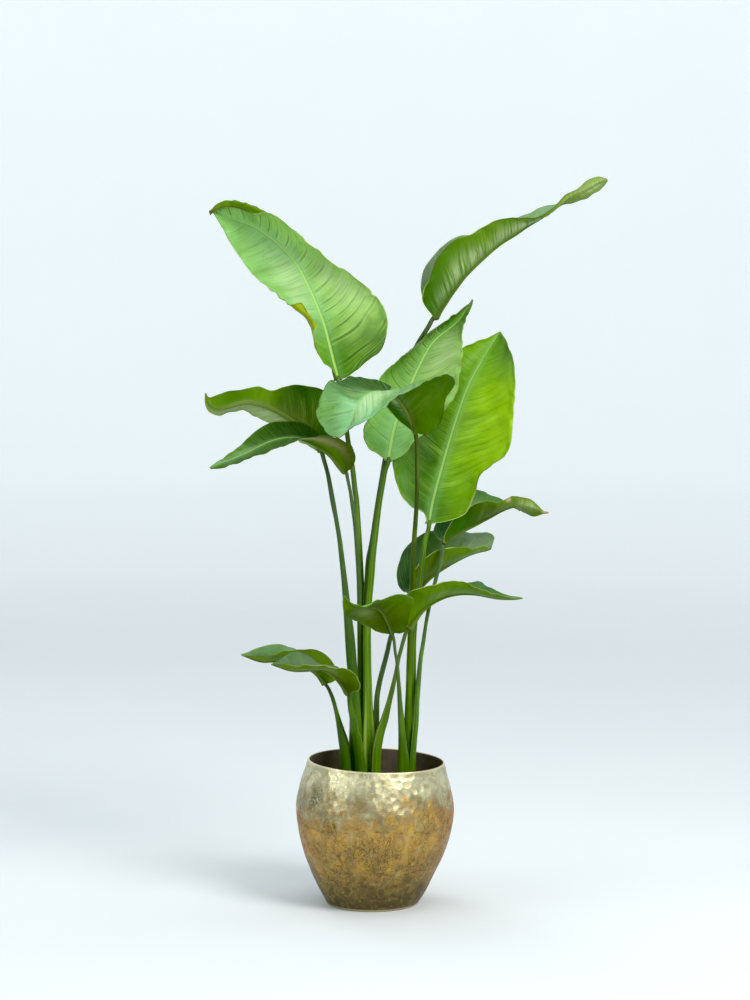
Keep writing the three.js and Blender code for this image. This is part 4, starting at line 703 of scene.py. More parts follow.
def leaf_material(upper):
    """The upper face is waxy and pale along its midrib, with a painted sheen beside the midrib and painted light and
    shade on its pleats; the lower one is smoother in colour and duller, with painted shade along its keel.
    """
    m = Nodes("leaf_upper" if upper else "leaf_lower")
    d, e, ph, u, pl = (m.attr(k) for k in ("rib", "rim", "vein", "along", "pleat"))
    tint = m.attr("tint", "Color")
    warp = m.noise(28.0, 3.0)
    fine = m.math("SINE", m.math("MULTIPLY_ADD", ph, 2 * math.pi / 2.4, m.math("MULTIPLY", warp, 9.0)))
    # distance from the nearest crease, 0 on it and 0.5 between two
    half = m.math("ABSOLUTE", m.math("SUBTRACT", m.math("FRACT", pl), 0.5))
    near = m.math("SUBTRACT", 0.5, half)
    other = m.math("MULTIPLY", m.attr("half"), 7.3)
    streak = m.noise(1.0, 4.0, 0.6, vector=m.joined(m.math("MULTIPLY", ph, 0.12), m.math("MULTIPLY", d, 0.016), other), distort=0.25)
    broad = m.noise(1.0, 3.0, 0.5, vector=m.joined(m.math("MULTIPLY", ph, 0.034), m.math("MULTIPLY", d, 0.012), other))
    some = m.step(m.noise(1.0, 2.0, vector=m.joined(m.math("MULTIPLY", ph, 0.05), m.math("MULTIPLY", d, 0.024), other)), 0.36, 0.58, 0.08, 1.0)
    crisp = m.attr("crisp")
    cloud = m.noise(15.0, 4.0)
    keep = m.math("MULTIPLY_ADD", m.attr("dull"), -0.85, 1.0)
    col = tint
    away = m.math("MULTIPLY", m.step(d, 1.5, 7.0), m.step(e, 3.0, 26.0, 0.25, 1.0))
    if upper:
        line = m.math("MULTIPLY", m.step(near, 0.1, 0.0), m.math("MULTIPLY", some, away))
        # painted light on the bulge of each pleat, between the creases
        pleat_light = m.math("MULTIPLY", m.step(near, 0.05, 0.42), m.math("MULTIPLY", some, away))
        col = m.mix(m.math("MULTIPLY", m.step(broad, 0.47, 0.64, 0.0, 0.6), away), col, srgb(190, 204, 150), "MULTIPLY")
        col = m.mix(m.math("MULTIPLY", m.step(streak, 0.5, 0.68, 0.0, 0.6), away), col, srgb(176, 198, 120), "MULTIPLY")
        col = m.mix(m.math("MULTIPLY", m.step(streak, 0.47, 0.32, 0.0, 0.2), m.math("MULTIPLY", away, keep)), col, srgb(180, 222, 90))
        col = m.mix(m.math("MULTIPLY", pleat_light, m.math("MULTIPLY", crisp, 0.26)), col, srgb(184, 220, 96))
        # painted highlight: a pale line along each pleat's crest beside the crease
        crest_highlight = m.step(m.math("ABSOLUTE", m.math("SUBTRACT", near, 0.17)), 0.07, 0.0)
        col = m.mix(m.math("MULTIPLY", m.math("MULTIPLY", crest_highlight, some), m.math("MULTIPLY", crisp, 0.5)), col, srgb(208, 236, 150))
        # painted shade: a thin dark line in each pleat crease
        col = m.mix(m.math("MULTIPLY", line, crisp), col, srgb(34, 84, 0))
        col = m.mix(m.math("MULTIPLY", m.step(fine, 0.2, 1.0), 0.13), col, srgb(44, 96, 6))
        col = m.mix(m.math("MULTIPLY", m.step(fine, -0.4, -1.0), 0.06), col, srgb(180, 220, 90))
    else:
        line = m.math("MULTIPLY", m.step(near, 0.14, 0.0), m.math("MULTIPLY", some, away))
        col = m.mix(m.math("MULTIPLY", m.step(broad, 0.48, 0.64, 0.0, 0.5), away), col, srgb(186, 196, 150), "MULTIPLY")
        col = m.mix(m.math("MULTIPLY", m.step(streak, 0.5, 0.3, 0.0, 0.22), away), col, srgb(134, 160, 60))
        col = m.mix(m.math("MULTIPLY", line, 0.2), col, srgb(128, 158, 40))
        col = m.mix(m.math("MULTIPLY", m.step(fine, 0.1, 1.0), 0.2), col, srgb(46, 76, 0))
        col = m.mix(m.math("MULTIPLY", m.step(fine, -0.3, -1.0), 0.08), col, srgb(150, 176, 90))
    col = m.mix(m.math("MULTIPLY", m.step(cloud, 0.38, 0.66, 0.0, 0.3), keep), col, srgb(70, 112, 4) if not upper else srgb(96, 150, 20))
    col = m.mix(m.step(m.noise(55.0, 5.0), 0.56, 0.75, 0.0, 0.22), col, srgb(70, 120, 20), "MULTIPLY")
    col = m.mix(m.step(m.noise(900.0, 2.0), 0.35, 0.7, 0.0, 0.09), col, srgb(30, 64, 0))
    thin = m.noise(1.0, 3.0, 0.6, vector=m.joined(m.math("MULTIPLY", ph, 0.3), m.math("MULTIPLY", d, 0.014), other))
    # painted sheen: pale streaks in the sheen patches stand for light glancing off the blade
    painted_sheen = m.math("MULTIPLY", m.attr("sheen"), m.step(thin, 0.6, 0.42, 0.45 if upper else 0.12, 1.0))
    col = m.mix(m.math("MULTIPLY", painted_sheen, 0.75), col, srgb(190, 218, 156) if upper else srgb(182, 200, 146))
    ribw = m.math("MULTIPLY_ADD", u, -1.2, 1.85)
    rib = m.step(m.math("DIVIDE", d, ribw), 1.2, 0.6)
    if upper:
        # painted sheen: a pale grey-teal band either side of the midrib stands for glossy reflection
        midrib_sheen = m.step(d, m.math("MULTIPLY_ADD", u, -8.0, 14.0), 2.0, 0.0, 0.22)
        col = m.mix(midrib_sheen, col, srgb(140, 196, 124))
        col = m.mix(m.math("MULTIPLY", m.math("MULTIPLY", rib, m.attr("ribs")), m.step(u, 1.0, 0.72, 0.3, 0.88)), col, srgb(172, 212, 104))
        # painted shade: a dark line in the fold beside the midrib
        crease = m.step(m.math("ABSOLUTE", m.math("SUBTRACT", m.math("DIVIDE", d, ribw), 1.35)), 0.4, 0.0)
        col = m.mix(m.math("MULTIPLY", crease, 0.32), col, srgb(40, 96, 10))
    else:
        # painted shade: a dark line along the keel under the midrib
        keel = m.step(m.math("DIVIDE", d, m.math("MULTIPLY_ADD", u, -3.2, 4.2)), 1.25, 0.8)
        col = m.mix(m.math("MULTIPLY", keel, 0.62), col, srgb(66, 84, 22))
        col = m.mix(m.math("MULTIPLY", rib, 0.3), col, srgb(132, 150, 70))
    # the margin line is partly a brown dried edge and partly pale, painted light glowing through the thin margin
    edge = m.step(e, 1.3, 0.4)
    rimmed = m.mix(m.step(m.noise(9.0, 2.0), 0.44, 0.56), srgb(184, 204, 112), srgb(84, 76, 30))
    col = m.mix(m.math("MULTIPLY", edge, m.step(m.noise(22.0, 2.0), 0.4, 0.6, 0.3, 0.85)), col, rimmed)
    scorch = m.math("MULTIPLY", m.step(e, 4.0, 0.0), m.step(m.noise(34.0, 4.0), 0.62, 0.74))
    col = m.mix(m.math("MULTIPLY", scorch, 0.6), col, srgb(132, 104, 52))
    fleck = m.math("MULTIPLY", m.step(m.voronoi(120.0), 0.1, 0.04), m.step(m.noise(40.0, 2.0), 0.6, 0.7))
    col = m.mix(m.math("MULTIPLY", fleck, 0.5), col, srgb(70, 58, 20))
    dry = m.attr("dry")
    col = m.mix(dry, col, m.mix(m.noise(300.0, 4.0), srgb(196, 182, 140), srgb(128, 108, 66)))
    m.set("Base Color", col)
    patchy = m.noise(38.0, 4.0)
    if upper:
        m.set("Roughness", m.math("MULTIPLY_ADD", m.attr("dull"), 0.5, m.math("MULTIPLY_ADD", patchy, 0.28, 0.15)))
        m.set("Specular IOR Level", 0.15)
    else:
        m.set("Roughness", m.math("MULTIPLY_ADD", patchy, 0.26, 0.3))
        m.set("Specular IOR Level", 0.1)
    h = m.math("ADD", m.math("MULTIPLY", fine, 0.35), m.math("MULTIPLY", m.noise(420.0, 3.0), 0.8))
    m.set("Normal", m.bump(h, 0.3 if upper else 0.22, 0.0004))
    glow = m.t.nodes.new("ShaderNodeBsdfTranslucent")
    m.put(glow.inputs["Color"], m.mix(m.math("MULTIPLY", keep, 0.38), col, srgb(150, 214, 0)))
    mix = m.t.nodes.new("ShaderNodeMixShader")
    mix.inputs[0].default_value = 0.2
    m.t.links.new(m.bsdf.outputs[0], mix.inputs[1])
    m.t.links.new(glow.outputs[0], mix.inputs[2])
    m.t.links.new(mix.outputs[0], m.out.inputs[0])
    return m.mat


def stalk_material():
    m = Nodes("leaf_stalk")
    s, chan = m.attr("height"), m.attr("channel")
    tint = m.attr("tint", "Color")
    streak = m.noise(1.0, 4.0, vector=m.mapped((420.0, 420.0, 9.0)))
    broad = m.noise(1.0, 3.0, vector=m.mapped((90.0, 90.0, 12.0)))
    col = m.mix(m.step(streak, 0.42, 0.66, 0.0, 0.4), tint, srgb(40, 84, 14))
    col = m.mix(m.step(broad, 0.5, 0.72, 0.0, 0.2), col, srgb(130, 170, 40))
    col = m.mix(m.step(m.noise(260.0, 3.0), 0.62, 0.72, 0.0, 0.35), col, srgb(46, 58, 22))
    col = m.mix(m.math("MULTIPLY", m.step(chan, 0.55, 0.95), 0.22), col, srgb(150, 180, 60))
    col = m.mix(m.math("MULTIPLY", m.attr("sheath"), m.step(s, 330.0, 230.0, 0.1, 0.75)), col, srgb(176, 196, 110))
    col = m.mix(m.math("MULTIPLY", m.step(s, 176.0, 156.0), m.step(m.noise(70.0, 4.0), 0.4, 0.6)), col, srgb(110, 84, 48))
    m.set("Base Color", col)
    m.set("Roughness", m.math("MULTIPLY_ADD", m.noise(60.0, 3.0), 0.26, 0.2))
    m.set("Specular IOR Level", 0.13)
    m.set("Normal", m.bump(m.math("ADD", streak, m.math("MULTIPLY", m.noise(700.0, 2.0), 0.4)), 0.3, 0.0004))
    return m.mat


def metal_material():
    """Hammered metal, pale champagne above and worn gold leaf with fine dark cracks below; the split is partly painted
    reflection of a pale room over a wooden floor, and painted highlights, shade and plank reflections sit on top.
    """
    m = Nodes("hammered_metal")
    gold, ridge_glint, dark, foot, lip = (m.attr(k) for k in ("gold", "ridge_glint", "inside", "foot", "lip"))
    patch = m.noise(38.0, 4.0, 0.55)
    leafy = m.noise(66.0, 4.0, 0.6, distort=1.2)
    sage = m.mix(m.step(patch, 0.36, 0.64), srgb(208, 202, 164), srgb(176, 170, 136))
    sage = m.mix(m.step(leafy, 0.54, 0.66, 0.0, 0.5), sage, srgb(238, 226, 172))
    sage = m.mix(m.step(m.noise(70.0, 3.0), 0.5, 0.64, 0.0, 0.6), sage, srgb(152, 140, 98))
    sage = m.mix(m.math("MULTIPLY", m.attr("band"), m.step(m.noise(44.0, 3.0), 0.36, 0.56, 0.35, 0.9)), sage, srgb(138, 122, 84))
    ochre = m.mix(m.step(patch, 0.38, 0.62), srgb(190, 152, 80), srgb(160, 128, 78))
    ochre = m.mix(m.step(leafy, 0.5, 0.62, 0.0, 0.5), ochre, srgb(210, 172, 76))
    ochre = m.mix(m.step(m.noise(52.0, 5.0, 0.6, distort=0.8), 0.52, 0.66, 0.0, 0.5), ochre, srgb(130, 112, 74))
    ochre = m.mix(m.math("MULTIPLY", m.attr("warm"), m.step(m.noise(26.0, 3.0), 0.3, 0.5, 0.3, 0.75)), ochre, srgb(178, 122, 54))
    # pale above, ochre below: partly the metal's own patina, partly painted reflection of a pale room above and a
    # wooden floor below
    col = m.mix(gold, sage, ochre)
    squiggle = m.step(m.math("ABSOLUTE", m.math("SUBTRACT", m.noise(58.0, 5.0, 0.6, distort=0.6), 0.5)), 0.024, 0.004)
    stems = m.step(m.math("ABSOLUTE", m.math("SUBTRACT", m.noise(1.0, 4.0, 0.6, vector=m.mapped((120.0, 120.0, 46.0)), distort=0.5), 0.5)), 0.022, 0.004)
    cells = m.step(m.voronoi(330.0, "DISTANCE_TO_EDGE"), 0.1, 0.02)
    some = m.step(m.noise(34.0, 3.0), 0.4, 0.58)
    lines = m.math("MAXIMUM", m.math("MAXIMUM", squiggle, stems), m.math("MULTIPLY", cells, m.math("MULTIPLY", some, 0.6)))
    zones = m.step(m.noise(17.0, 2.0), 0.42, 0.58, 0.3, 0.85)
    col = m.mix(m.math("MULTIPLY", m.math("MULTIPLY", lines, zones), m.math("MULTIPLY_ADD", gold, 0.8, 0.06)), col, srgb(72, 60, 36))
    spots = m.math("MULTIPLY", m.step(m.noise(430.0, 4.0, 0.7), 0.58, 0.64), m.step(m.noise(22.0, 2.0), 0.56, 0.66))
    spots = m.math("MAXIMUM", spots, m.math("MULTIPLY", m.attr("speck"), m.step(m.noise(360.0, 4.0, 0.7), 0.46, 0.54)))
    col = m.mix(m.math("MULTIPLY", spots, 0.85), col, srgb(44, 68, 62))
    # painted shade: the lower belly darkens to brown towards the bottom
    col = m.mix(foot, col, m.mix(m.step(leafy, 0.45, 0.6), srgb(96, 84, 56), srgb(128, 114, 70)))
    # painted reflection of the floor's plank joints: two faint wavy dark lines round the belly
    col = m.mix(m.math("MULTIPLY", m.attr("plank_reflection"), m.step(m.noise(50.0, 3.0), 0.4, 0.56, 0.0, 0.8)), col, srgb(82, 68, 44))
    # painted highlight: pale glints along the ridges between hammer marks, mostly on the pale upper part
    col = m.mix(m.math("MULTIPLY", m.step(ridge_glint, 0.5, 1.0), m.math("MULTIPLY_ADD", gold, -0.16, 0.2)), col, srgb(240, 232, 190))
    col = m.mix(dark, col, m.mix(m.noise(60.0, 4.0), srgb(128, 116, 96), srgb(92, 84, 72)))
    # pale rolled lip at the top; the pale line round the bottom edge is a painted highlight
    col = m.mix(lip, col, srgb(226, 214, 178))
    m.set("Base Color", col)
    m.set("Metallic", m.step(dark, 0.0, 1.0, 0.88, 0.1))
    r = m.math("MULTIPLY_ADD", m.noise(120.0, 4.0, 0.6), 0.34, 0.14)
    r = m.math("ADD", r, m.math("MULTIPLY", gold, 0.12))
    r = m.math("ADD", r, m.math("MULTIPLY", lines, 0.2))
    r = m.math("ADD", r, m.math("MULTIPLY", dark, 0.3), clamp=True)
    m.set("Roughness", r)
    h = m.math("ADD", m.math("MULTIPLY", m.noise(220.0, 3.0), 0.5), m.math("MULTIPLY", m.noise(1100.0, 2.0), 0.12))
    h = m.math("SUBTRACT", h, m.math("MULTIPLY", lines, 0.25))
    m.set("Normal", m.bump(h, 0.4, 0.0006))
    return m.mat


def plastic_material():
    m = Nodes("nursery_plastic")
    dust = m.noise(60.0, 5.0)
    col = m.mix(m.step(dust, 0.45, 0.75, 0.0, 0.5), srgb(30, 29, 28), srgb(70, 62, 52))
    m.set("Base Color", col)
    m.set("Roughness", m.math("MULTIPLY_ADD", m.noise(200.0, 3.0), 0.3, 0.4))
    m.set("Normal", m.bump(m.noise(1500.0, 2.0), 0.2, 0.0003))
    return m.mat


def soil_material():
    m = Nodes("potting_soil")
    kind = m.attr("kind")
    a = m.noise(240.0, 6.0, 0.7)
    col = m.mix(m.step(a, 0.35, 0.65), srgb(48, 34, 24), srgb(92, 66, 44))
    col = m.mix(m.step(m.noise(900.0, 3.0), 0.5, 0.7), col, srgb(26, 18, 13))
    bark = m.mix(m.step(m.noise(1.0, 4.0, vector=m.mapped((500.0, 90.0, 300.0))), 0.4, 0.6), srgb(120, 82, 50), srgb(70, 46, 30))
    col = m.mix(m.step(kind, 0.4, 0.6), col, bark)
    col = m.mix(m.step(kind, 1.4, 1.6), col, m.mix(a, srgb(226, 222, 212), srgb(186, 178, 164)))
    m.set("Base Color", col)
    m.set("Roughness", m.math("MULTIPLY_ADD", a, 0.2, 0.78))
    m.set("Normal", m.bump(m.noise(700.0, 5.0, 0.7), 0.7, 0.001))
    return m.mat


def crown_material():
    m = Nodes("rhizome_crown")
    fib = m.noise(1.0, 5.0, vector=m.mapped((260.0, 260.0, 40.0)))
    col = m.mix(m.step(fib, 0.35, 0.65), srgb(92, 74, 44), srgb(146, 130, 78))
    col = m.mix(m.step(m.noise(60.0, 4.0), 0.45, 0.65, 0.0, 0.7), col, srgb(108, 120, 52))
    col = m.mix(m.step(m.noise(140.0, 5.0), 0.58, 0.68), col, srgb(52, 36, 22))
    m.set("Base Color", col)
    m.set("Roughness", m.math("MULTIPLY_ADD", fib, 0.2, 0.66))
    m.set("Normal", m.bump(fib, 0.6, 0.001))
    return m.mat


# ------------------------------------------------------------------ leaf blades

# Greens of the two faces: names that a blade's palette may use.
G = {
    "fresh": srgb(134, 194, 84),
    "lime": srgb(166, 216, 66),
    "yellow": srgb(156, 200, 14),
    "leaf": srgb(112, 168, 14),
    "grass": srgb(84, 142, 2),
    "deep": srgb(50, 100, 0),
    "dark": srgb(16, 66, 0),
    "teal": srgb(140, 200, 146),
    "mist": srgb(126, 170, 120),
    "grey": srgb(100, 146, 84),
    "sea": srgb(62, 104, 66),
    "olive": srgb(72, 112, 0),
    "moss": srgb(104, 142, 0),
    "forest": srgb(30, 92, 0),
    "pale": srgb(168, 190, 118),
    "buff": srgb(186, 170, 120),
    "brown": srgb(74, 88, 4),
    "ink": srgb(6, 54, 0),
    "mint": srgb(150, 208, 118),
    "gilt": srgb(164, 176, 16),
    "spring": srgb(178, 226, 116),
    "khaki": srgb(104, 132, 18),
    "slate": srgb(126, 144, 118),
    "shade": srgb(44, 74, 40),
}

# For each blade: upper and lower face, then touches (face, along, across, reach along,
# reach across, colour) with face 1 the upper one, across from -1 at the left margin to +1
# at the right one. pleat is in mm. roll: (side, from, to, mm) of margin curled over the
# upper face. dry: (along, across, reach) of a withered patch.
# Many touches are painted light and shade: the dark ones (ink, dark, shade, deep) stand for shade on folds, blade bases
# and halves turned from the light, the pale and grey-teal ones (spring, mint, teal, mist, slate, grey, pale, buff) for
# light caught by the blade and its glossy reflection.
LOOK = {
    "top_left": dict(up="fresh", low="moss", pleat=(1.0, 2.3), crisp=(0.3, 0.78), gap=15.5,
        touch=[(1, 0.7, -0.5, 0.3, 0.5, "mint"), (1, 0.6, 0.9, 0.3, 0.4, "spring"), (1, 0.3, 0.7, 0.14, 0.4, "spring"), (1, 0.42, 0.6, 0.2, 0.4, "spring"), (1, 0.0, 0.5, 0.16, 0.7, "grass"), (1, 0.06, 0.5, 0.13, 0.8, "dark"), (1, 0.1, 0.7, 0.13, 0.4, "dark"), (1, 0.15, 0.95, 0.08, 0.3, "dark"), (1, 0.04, -0.3, 0.1, 0.5, "grass"), (1, 0.24, 0.98, 0.08, 0.12, "grass"),
               (1, 0.05, -0.6, 0.14, 0.5, "leaf"), (1, 0.5, -0.2, 0.25, 0.35, "teal"), (1, 0.5, 0.35, 0.2, 0.3, "mint"), (1, 0.9, 0.4, 0.15, 0.5, "mint"), (0, 0.3, -0.9, 0.3, 0.4, "gilt")],
        nick=[(1, 0.34, 3.0, 4.0), (-1, 0.1, 3.0, 4.5)],
        sheen=[(1, 0.42, 0.6, 0.13, 0.4), (1, 0.5, -0.3, 0.2, 0.4)],
        roll=[(-1, 0.2, 0.45, 9.0), (1, 0.74, 1.0, 7.0)]),
    "top_right": dict(up="slate", low="olive", pleat=(0.9, 0.9), crisp=(0.3, 0.3),
        touch=[(1, 0.3, 0.4, 0.4, 0.6, "grey"), (0, 0.92, 0.2, 0.16, 1.2, "khaki"), (0, 0.97, 0.2, 0.1, 1.2, "pale"), (0, 0.15, 0.5, 0.2, 0.6, "deep"), (0, 0.35, 0.3, 0.15, 0.5, "moss"), (1, 0.9, 0, 0.2, 1.0, "mist")],
        sheen=[(0, 0.3, 0.35, 0.22, 0.28), (0, 0.6, 0.4, 0.2, 0.3), (0, 0.93, 0.0, 0.1, 0.3)], nick=[(1, 0.7, 2.0, 3.0)]),
    "centre": dict(up="fresh", low="olive", pleat=(2.0, 2.0), crisp=(0.75, 0.75), gap=12.0,
        touch=[(1, 0.12, 0.2, 0.18, 0.9, "mint"), (1, 0.15, 0.0, 0.12, 0.7, "teal"), (1, 0.3, 0.8, 0.2, 0.4, "mint"), (1, 0.6, -0.2, 0.2, 0.5, "grey"), (1, 0.8, -0.7, 0.2, 0.4, "dark"), (1, 0.06, -0.7, 0.09, 0.4, "deep"), (1, 0.93, 0.6, 0.15, 1.0, "grass"), (1, 0.8, -0.9, 0.25, 0.3, "deep"), (1, 0.6, 0.7, 0.25, 0.5, "spring"), (1, 0.4, 0.6, 0.2, 0.4, "spring"), (1, 0.2, -0.8, 0.15, 0.4, "fresh")],
        sheen=[(1, 0.6, 0.5, 0.22, 0.4)], nick=[(-1, 0.22, 2.5, 3.5)]),
    "right_large": dict(up="leaf", ribs=0.62, low="olive", pleat=(1.1, 1.1), crisp=(0.34, 0.26), gap=10.0,
        touch=[(1, 0.4, 0.7, 0.3, 0.45, "yellow"), (1, 0.2, 0.4, 0.2, 0.5, "leaf"), (1, 0.3, -0.5, 0.32, 0.4, "deep"), (1, 0.25, -0.6, 0.2, 0.3, "dark"), (1, 0.2, -0.5, 0.25, 0.5, "dark"), (1, 0.06, 0.25, 0.09, 0.4, "ink"), (1, 0.0, 0.0, 0.14, 0.8, "deep"), (1, 0.05, 0.2, 0.12, 0.8, "dark"), (1, 0.08, 0.28, 0.1, 0.4, "ink"), (1, 0.95, 0.3, 0.14, 1.2, "leaf"), (1, 0.9, 0.8, 0.1, 0.4, "grey"), (1, 0.45, -0.9, 0.2, 0.3, "grass"), (1, 0.1, -0.9, 0.2, 0.3, "grass"), (1, 0.1, 0.1, 0.12, 0.4, "grass")]),
    "front_folded": dict(up="teal", low="olive", pleat=(0.9, 0.9), crisp=(0.34, 0.34),
        touch=[(1, 0.5, 0.85, 0.13, 0.35, "ink"), (1, 0.58, 0.82, 0.12, 0.3, "ink"), (1, 0.54, 0.86, 0.12, 0.26, "ink"), (1, 0.68, 0.95, 0.08, 0.16, "dark"), (1, 0.9, 0.8, 0.1, 0.3, "grey"), (1, 0.2, -0.6, 0.2, 0.6, "grass"), (0, 0.08, -0.05, 0.1, 0.12, "brown"), (0, 0.3, 0.5, 0.2, 0.4, "forest")],
        sheen=[(1, 0.62, -0.25, 0.2, 0.3), (0, 0.3, 0.2, 0.15, 0.2)], nick=[(1, 0.86, 3.5, 4.0), (1, 0.93, 2.5, 2.5)]),
    "left_upper": dict(up="fresh", low="olive", pleat=(0.5, 0.5), crisp=(0.3, 0.3),
        touch=[(0, 0.28, -0.6, 0.2, 0.5, "ink"), (0, 0.12, -0.6, 0.1, 0.4, "deep"), (0, 0.3, -0.1, 0.2, 0.3, "brown"), (0, 0.55, 0.7, 0.35, 0.5, "pale"), (0, 0.7, 0.1, 0.1, 0.2, "pale"), (0, 0.55, -0.65, 0.09, 0.5, "moss"), (0, 0.75, -0.5, 0.12, 0.4, "olive"), (0, 0.95, -0.2, 0.1, 0.8, "moss")],
        sheen=[(0, 0.5, 0.6, 0.28, 0.4)]),
    "left_lower": dict(up="deep", ribs=0.8, low="olive", pleat=(0.35, 0.35), crisp=(0.16, 0.16),
        touch=[(1, 0.45, 0.5, 0.25, 0.5, "ink"), (1, 0.6, 0.6, 0.2, 0.4, "dark"), (1, 0.55, -0.6, 0.25, 0.5, "ink"), (1, 0.8, -0.5, 0.15, 0.5, "dark"), (1, 0.85, 0.3, 0.2, 0.8, "grass"), (0, 0.3, -0.55, 0.14, 0.16, "buff"), (0, 0.1, -0.6, 0.15, 0.3, "brown"), (0, 0.15, 0.0, 0.2, 0.3, "moss"), (1, 0.75, -0.5, 0.35, 0.5, "deep"), (1, 0.6, -0.05, 0.3, 0.16, "dark"), (1, 0.4, -0.4, 0.2, 0.4, "deep")]),
    "right_upper": dict(up="sea", low="olive", pleat=(0.4, 0.4), crisp=(0.3, 0.3),
        touch=[(1, 0.6, 0.5, 0.4, 0.6, "slate"), (0, 0.22, 0.3, 0.14, 0.6, "forest"), (0, 0.45, 0.3, 0.14, 0.8, "brown"), (0, 0.72, 0.4, 0.16, 0.8, "khaki"), (0, 0.9, 0.0, 0.1, 0.8, "khaki")], dry=[(0.98, 0.0, 0.06), (0.66, 0.92, 0.03)],
        sheen=[(0, 0.8, 0.2, 0.1, 0.5)], nick=[(1, 0.6, 3.0, 3.0), (-1, 0.75, 2.5, 3.0)]),
    "right_back": dict(up="grey", low="olive", pleat=(0.4, 0.4), crisp=(0.2, 0.2),
        touch=[(1, 0.2, -0.6, 0.25, 0.5, "shade"), (1, 0.68, -0.4, 0.25, 0.6, "slate"), (0, 0.7, 0.6, 0.3, 0.5, "moss"), (0, 0.3, 0.5, 0.2, 0.4, "brown")]),
    "low_front": dict(up="fresh", low="olive", pleat=(0.35, 0.35), crisp=(0.3, 0.3),
        touch=[(0, 0.55, -0.7, 0.25, 0.3, "moss"), (0, 0.4, 0.3, 0.3, 0.6, "brown"), (0, 0.15, 0.0, 0.15, 0.8, "brown"), (0, 0.46, 0.45, 0.1, 0.2, "pale"), (0, 0.85, 0.2, 0.12, 0.6, "moss")]),
    "low_right": dict(up="sea", low="olive", pleat=(0.35, 0.35), crisp=(0.3, 0.3),
        touch=[(0, 0.5, 0.3, 0.4, 0.6, "moss"), (1, 0.8, 0.0, 0.3, 0.8, "sea")]),
    "small_back": dict(up="slate", low="khaki", pleat=(0.3, 0.3), crisp=(0.12, 0.12),
        touch=[(0, 0.55, 0.5, 0.2, 0.6, "moss"), (0, 0.25, 0.4, 0.2, 0.6, "forest"), (1, 0.6, 0.0, 0.3, 0.4, "shade"), (1, 0.5, 0.6, 0.3, 0.3, "grey")]),
    "small_front": dict(up="sea", low="khaki", pleat=(0.3, 0.3), crisp=(0.12, 0.12),
        touch=[(0, 0.6, 0.3, 0.3, 0.6, "moss"), (1, 0.4, 0.4, 0.3, 0.5, "slate"), (1, 0.7, -0.3, 0.2, 0.4, "shade"), (0, 0.12, 0.0, 0.14, 0.6, "brown"), (0, 0.35, 0.1, 0.18, 0.14, "buff")],
        nick=[(1, 0.55, 2.0, 3.0)]),
}

ACROSS = np.array([0, .004, .009, .016, .025, .036, .05, .07, .1, .14, .19, .25, .31, .38, .45, .52, .59, .66, .73, .79, .84, .88, .91, .93, .945, .958, .97, .98, .988, .995, 1.0])
ACROSS = np.concatenate([-ACROSS[:0:-1], ACROSS])


def blade_surface(name):
    """Middle surface of a blade, its normals towards the upper face and its lengths."""
    rows, s = even(BLADES[name], 1.7)
    mid, left, right = rows[:, :3], rows[:, 3:6].copy(), rows[:, 6:9].copy()
    for side, where, deep, wide in LOOK[name].get("nick", ()):
        edge = left if side < 0 else right
        cut = deep * np.clip(1 - np.abs(s - where * s[-1]) / wide, 0, 1) ** 1.4 / np.maximum(np.linalg.norm(edge - mid, axis=1), 8.0)
        edge += (mid - edge) * np.minimum(cut, 0.5)[:, None]
    along = unit(np.gradient(mid, axis=0))
    for _ in range(6):
        along[1:-1] = (along[:-2] + 2 * along[1:-1] + along[2:]) / 4
    nl = unit(np.cross(mid - left, along))
    nr = unit(np.cross(right - mid, along))
    for n in (nl, nr):
        n[:2], n[-3:] = n[2], n[-4]
        for _ in range(8):
            n[1:-1] = (n[:-2] + 2 * n[1:-1] + n[2:]) / 4
    a = np.abs(ACROSS)[None, :, None]
    onleft = (ACROSS < 0)[None, :, None]
    out = np.where(onleft, (left - mid)[:, None], (right - mid)[:, None])
    nrm = np.where(onleft, nl[:, None], nr[:, None])
    swell = np.where(onleft, rows[:, None, 9:10], rows[:, None, 10:11])
    p = mid[:, None] + a * out + swell * 4 * a * (1 - a) * nrm
    c = len(ACROSS) // 2
    for _ in range(3):  # rounds the fold along the midrib
        q = p.copy()
        for j in range(c - 7, c + 8):
            p[:, j] = (q[:, j - 1] + 2 * q[:, j] + q[:, j + 1]) / 4
    width = np.linalg.norm(out, axis=2)
    return p, s, width, mid, along


